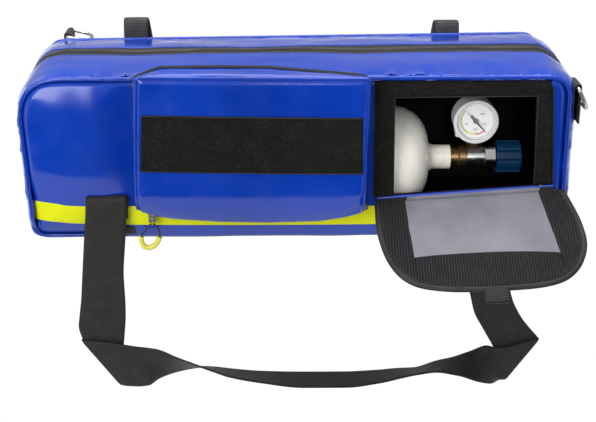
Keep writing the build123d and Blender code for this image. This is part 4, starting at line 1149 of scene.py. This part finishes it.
LOOP_PATH = [(171.6, 121), (171.6, 140), (171.7, 162), (172.4, 170), (174.6, 174.3), (178.3, 175.4),
             (182.0, 174.3), (184.2, 170), (184.8, 162), (184.9, 140), (184.9, 121)]
HALF_WIDE = 12.5
for side, low_x, lean, top_drop, twist in (("Left", -179.0, 1.0, 2.0, 8.0),
                                           ("Right", 151.0, -1.4, 6.0, -8.0)):
    left_edge, right_edge = [], []
    for depth, z, _ in spline([(d, z - top_drop * ease(140, 175, z), 0) for d, z in LOOP_PATH], 1.6):
        x = low_x + (lean * (z - 121) / 54 + twist * ease(174, 184, depth) * (176 - z) / 50)
        left_edge.append((x, depth, z))
        right_edge.append((x + 2 * HALF_WIDE, depth, z))
    ribbon(f"{side}RailLoop", left_edge, right_edge, 1.9, WEBBING_DARK)
    patch(f"{side}LoopPatch", [(low_x - 2, 119), (low_x + 27, 119), (low_x + 27, 131), (low_x - 2, 131)],
          lambda x, z, lift: (x, rear_depth(x, z) + lift + 0.2, z), 1.2, WEBBING_DARK)

for side, (x, depth, height), drop in (("Left", (-239.0, 191.0, 154.0), 20.0),
                                       ("Right", (264.2, 16.0, 146.0), 35.0)):
    section = [(-3.4, -drop, 0), (-3.4, -drop / 2, 0), (-3.4, -1, 0), (-2.5, 2.4, 0), (0, 3.5, 0),
               (2.5, 2.4, 0), (3.4, -1, 0), (3.4, -drop / 2, 0), (3.4, -drop, 0)]
    near, far = ([(x + a, depth + reach, height + b) for a, b, _ in spline(section, 1.2)]
                 for reach in (-HALF_WIDE, HALF_WIDE))
    ribbon(f"{side}RingTab", near, far, 1.8, WEBBING_DARK)
    stitches(f"{side}RingTabSeam", [(x - 4.4, depth - 10, height - drop + 5),
                                    (x - 4.4, depth + 10, height - drop + 5)], 2.6, 1.8, 0.6, THREAD,
             slot="webbing_black")

AXIS_DEPTH, AXIS_HEIGHT, STRAP_RADIUS = 63.0, 58.0, 52.4
END_GAP = 0.02
circle = [(STRAP_RADIUS * math.sin(a), STRAP_RADIUS * math.cos(a))
          for a in np.linspace(END_GAP, 2 * math.pi - END_GAP, 70)]
for n, x in enumerate((-150.0, 20.0)):
    near, far = ([(x + reach, AXIS_DEPTH + d, AXIS_HEIGHT + z) for d, z in circle]
                 for reach in (-HALF_WIDE, HALF_WIDE))
    ribbon(f"CylinderStrap{n}", near, far, 1.5, WEBBING_DARK)

# ---------------------------------------------------------------- valve and gauge

for material, nodes in (
        (WHITE, ["cylinder_body"]), (NYLON, ["valve_seat"]), (GAUGE, ["gauge_case", "gauge_bezel"]),
        (BRASS, ["valve_inlet", "neck_collar", "gas_outlet", "gauge_stem", "bourdon_tube"]),
        (CHROME, ["valve_body", "bonnet_nut", "outlet_cap"]), (LENS, ["gauge_lens"]), (DIAL, ["gauge_dial"]),
        (STEEL, ["valve_spindle", "left_d_ring", "right_d_ring", "main_zip_slider", "main_zip_pull",
                 "pocket_zip_slider"]), (KNOB, ["handwheel"]), (INK, ["gauge_needle"])):
    for node in nodes:
        NODES[node].data.materials.clear()
        NODES[node].data.materials.append(material)

GAUGE_X, GAUGE_Z = 178.0, 98.6
DIAL_FACE = 54.35


def dial_point(radius, degrees, lift):
    """Point of the dial, with degrees anticlockwise from the right as seen from the front."""
    a = math.radians(degrees)
    return (GAUGE_X + radius * math.cos(a), DIAL_FACE - lift, GAUGE_Z + radius * math.sin(a))


for name, low, high, inner, outer, material in (
        ("DialGreen", 135, 235, 13.4, 15.0, INK_GREEN), ("DialYellow", 235, 275, 13.4, 15.0, INK_YELLOW),
        ("DialRed", 275, 312, 13.4, 15.0, INK_RED), ("DialEdge", 0, 360, 17.9, 18.15, INK)):
    angles = np.linspace(low, high, int((high - low) / 4) + 1)
    piece(name, [dial_point(r, a, 0.05) for a in angles for r in (inner, outer)], grid_faces(2, len(angles)),
          [material])
TICKS, TICK_END, SWEEP_START, SWEEP = 20, 13.2, 135, 270
points = []
for n in range(TICKS + 1):
    a = SWEEP_START + SWEEP * n / TICKS
    inner = 11.6 if n % 5 == 0 else 12.6
    for da, r in ((-0.9, inner), (0.9, inner), (0.9, TICK_END), (-0.9, TICK_END)):
        points.append(dial_point(r, a + da, 0.06))
piece("DialTicks", points, [[4 * n + k for k in range(4)] for n in range(TICKS + 1)], [INK])
for n, a in enumerate((135, 202.5, 270, 337.5, 45)):
    text = bpy.data.curves.new(f"DialNumber{n}", "FONT")
    text.body = str(n * 50)
    text.size = 3.0 * MM
    text.align_x = text.align_y = "CENTER"
    text.extrude = 0.00003
    text.materials.append(INK)
    number = linked(f"DialNumber{n}", text)
    number.location = at(dial_point(9.3, a, 0.08))
    number.rotation_euler = (math.pi / 2, 0, 0)
    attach(number, "bag")

# ---------------------------------------------------------------- floor and light flags


def stage_sheet(name, corners, color, strength, seen_by):
    """A card or sheet of the studio, seen only by those kinds of ray."""
    material = bpy.data.materials.new(name)
    material.use_nodes = True
    tree = material.node_tree
    tree.nodes.clear()
    emission = tree.nodes.new("ShaderNodeEmission")
    emission.inputs["Color"].default_value = (*color, 1.0)
    emission.inputs["Strength"].default_value = strength
    tree.links.new(emission.outputs[0], tree.nodes.new("ShaderNodeOutputMaterial").inputs["Surface"])
    mesh = bpy.data.meshes.new(name)
    mesh.from_pydata(corners, [], [[4 * n + k for k in range(4)] for n in range(len(corners) // 4)])
    mesh.materials.append(material)
    sheet = linked(name, mesh)
    for kind in ("camera", "diffuse", "glossy", "transmission", "shadow", "volume_scatter"):
        setattr(sheet, f"visible_{kind}", kind in seen_by)
    return sheet


floor_z = BASE - 0.20
flag_z = floor_z + 0.002
FLOOR = [(-8, -8, floor_z), (8, -8, floor_z), (8, 8, floor_z), (-8, 8, floor_z)]
WHITE_GLOW = (1, 1, 1)
floor = stage_sheet("Floor", FLOOR, WHITE_GLOW, 1.02, ("camera",))
glow = stage_sheet("FloorGlow", FLOOR, WHITE_GLOW, 1.15, ("glossy", "transmission"))
backdrop = stage_sheet("Backdrop", [(-8, 4, floor_z), (8, 4, floor_z), (8, 4, 6), (-8, 4, 6)], WHITE_GLOW,
                       1.02, ("camera",))
flag = stage_sheet("Flag", [(-1.1, -0.60, flag_z), (1.1, -0.60, flag_z), (1.1, -1.00, flag_z),
                            (-1.1, -1.00, flag_z), (-1.1, -1.00, flag_z), (1.1, -1.00, flag_z),
                            (1.1, -1.02, 0.0), (-1.1, -1.02, 0.0)], (0, 0, 0), 0.0, ("glossy",))

bpy.context.view_layer.update()
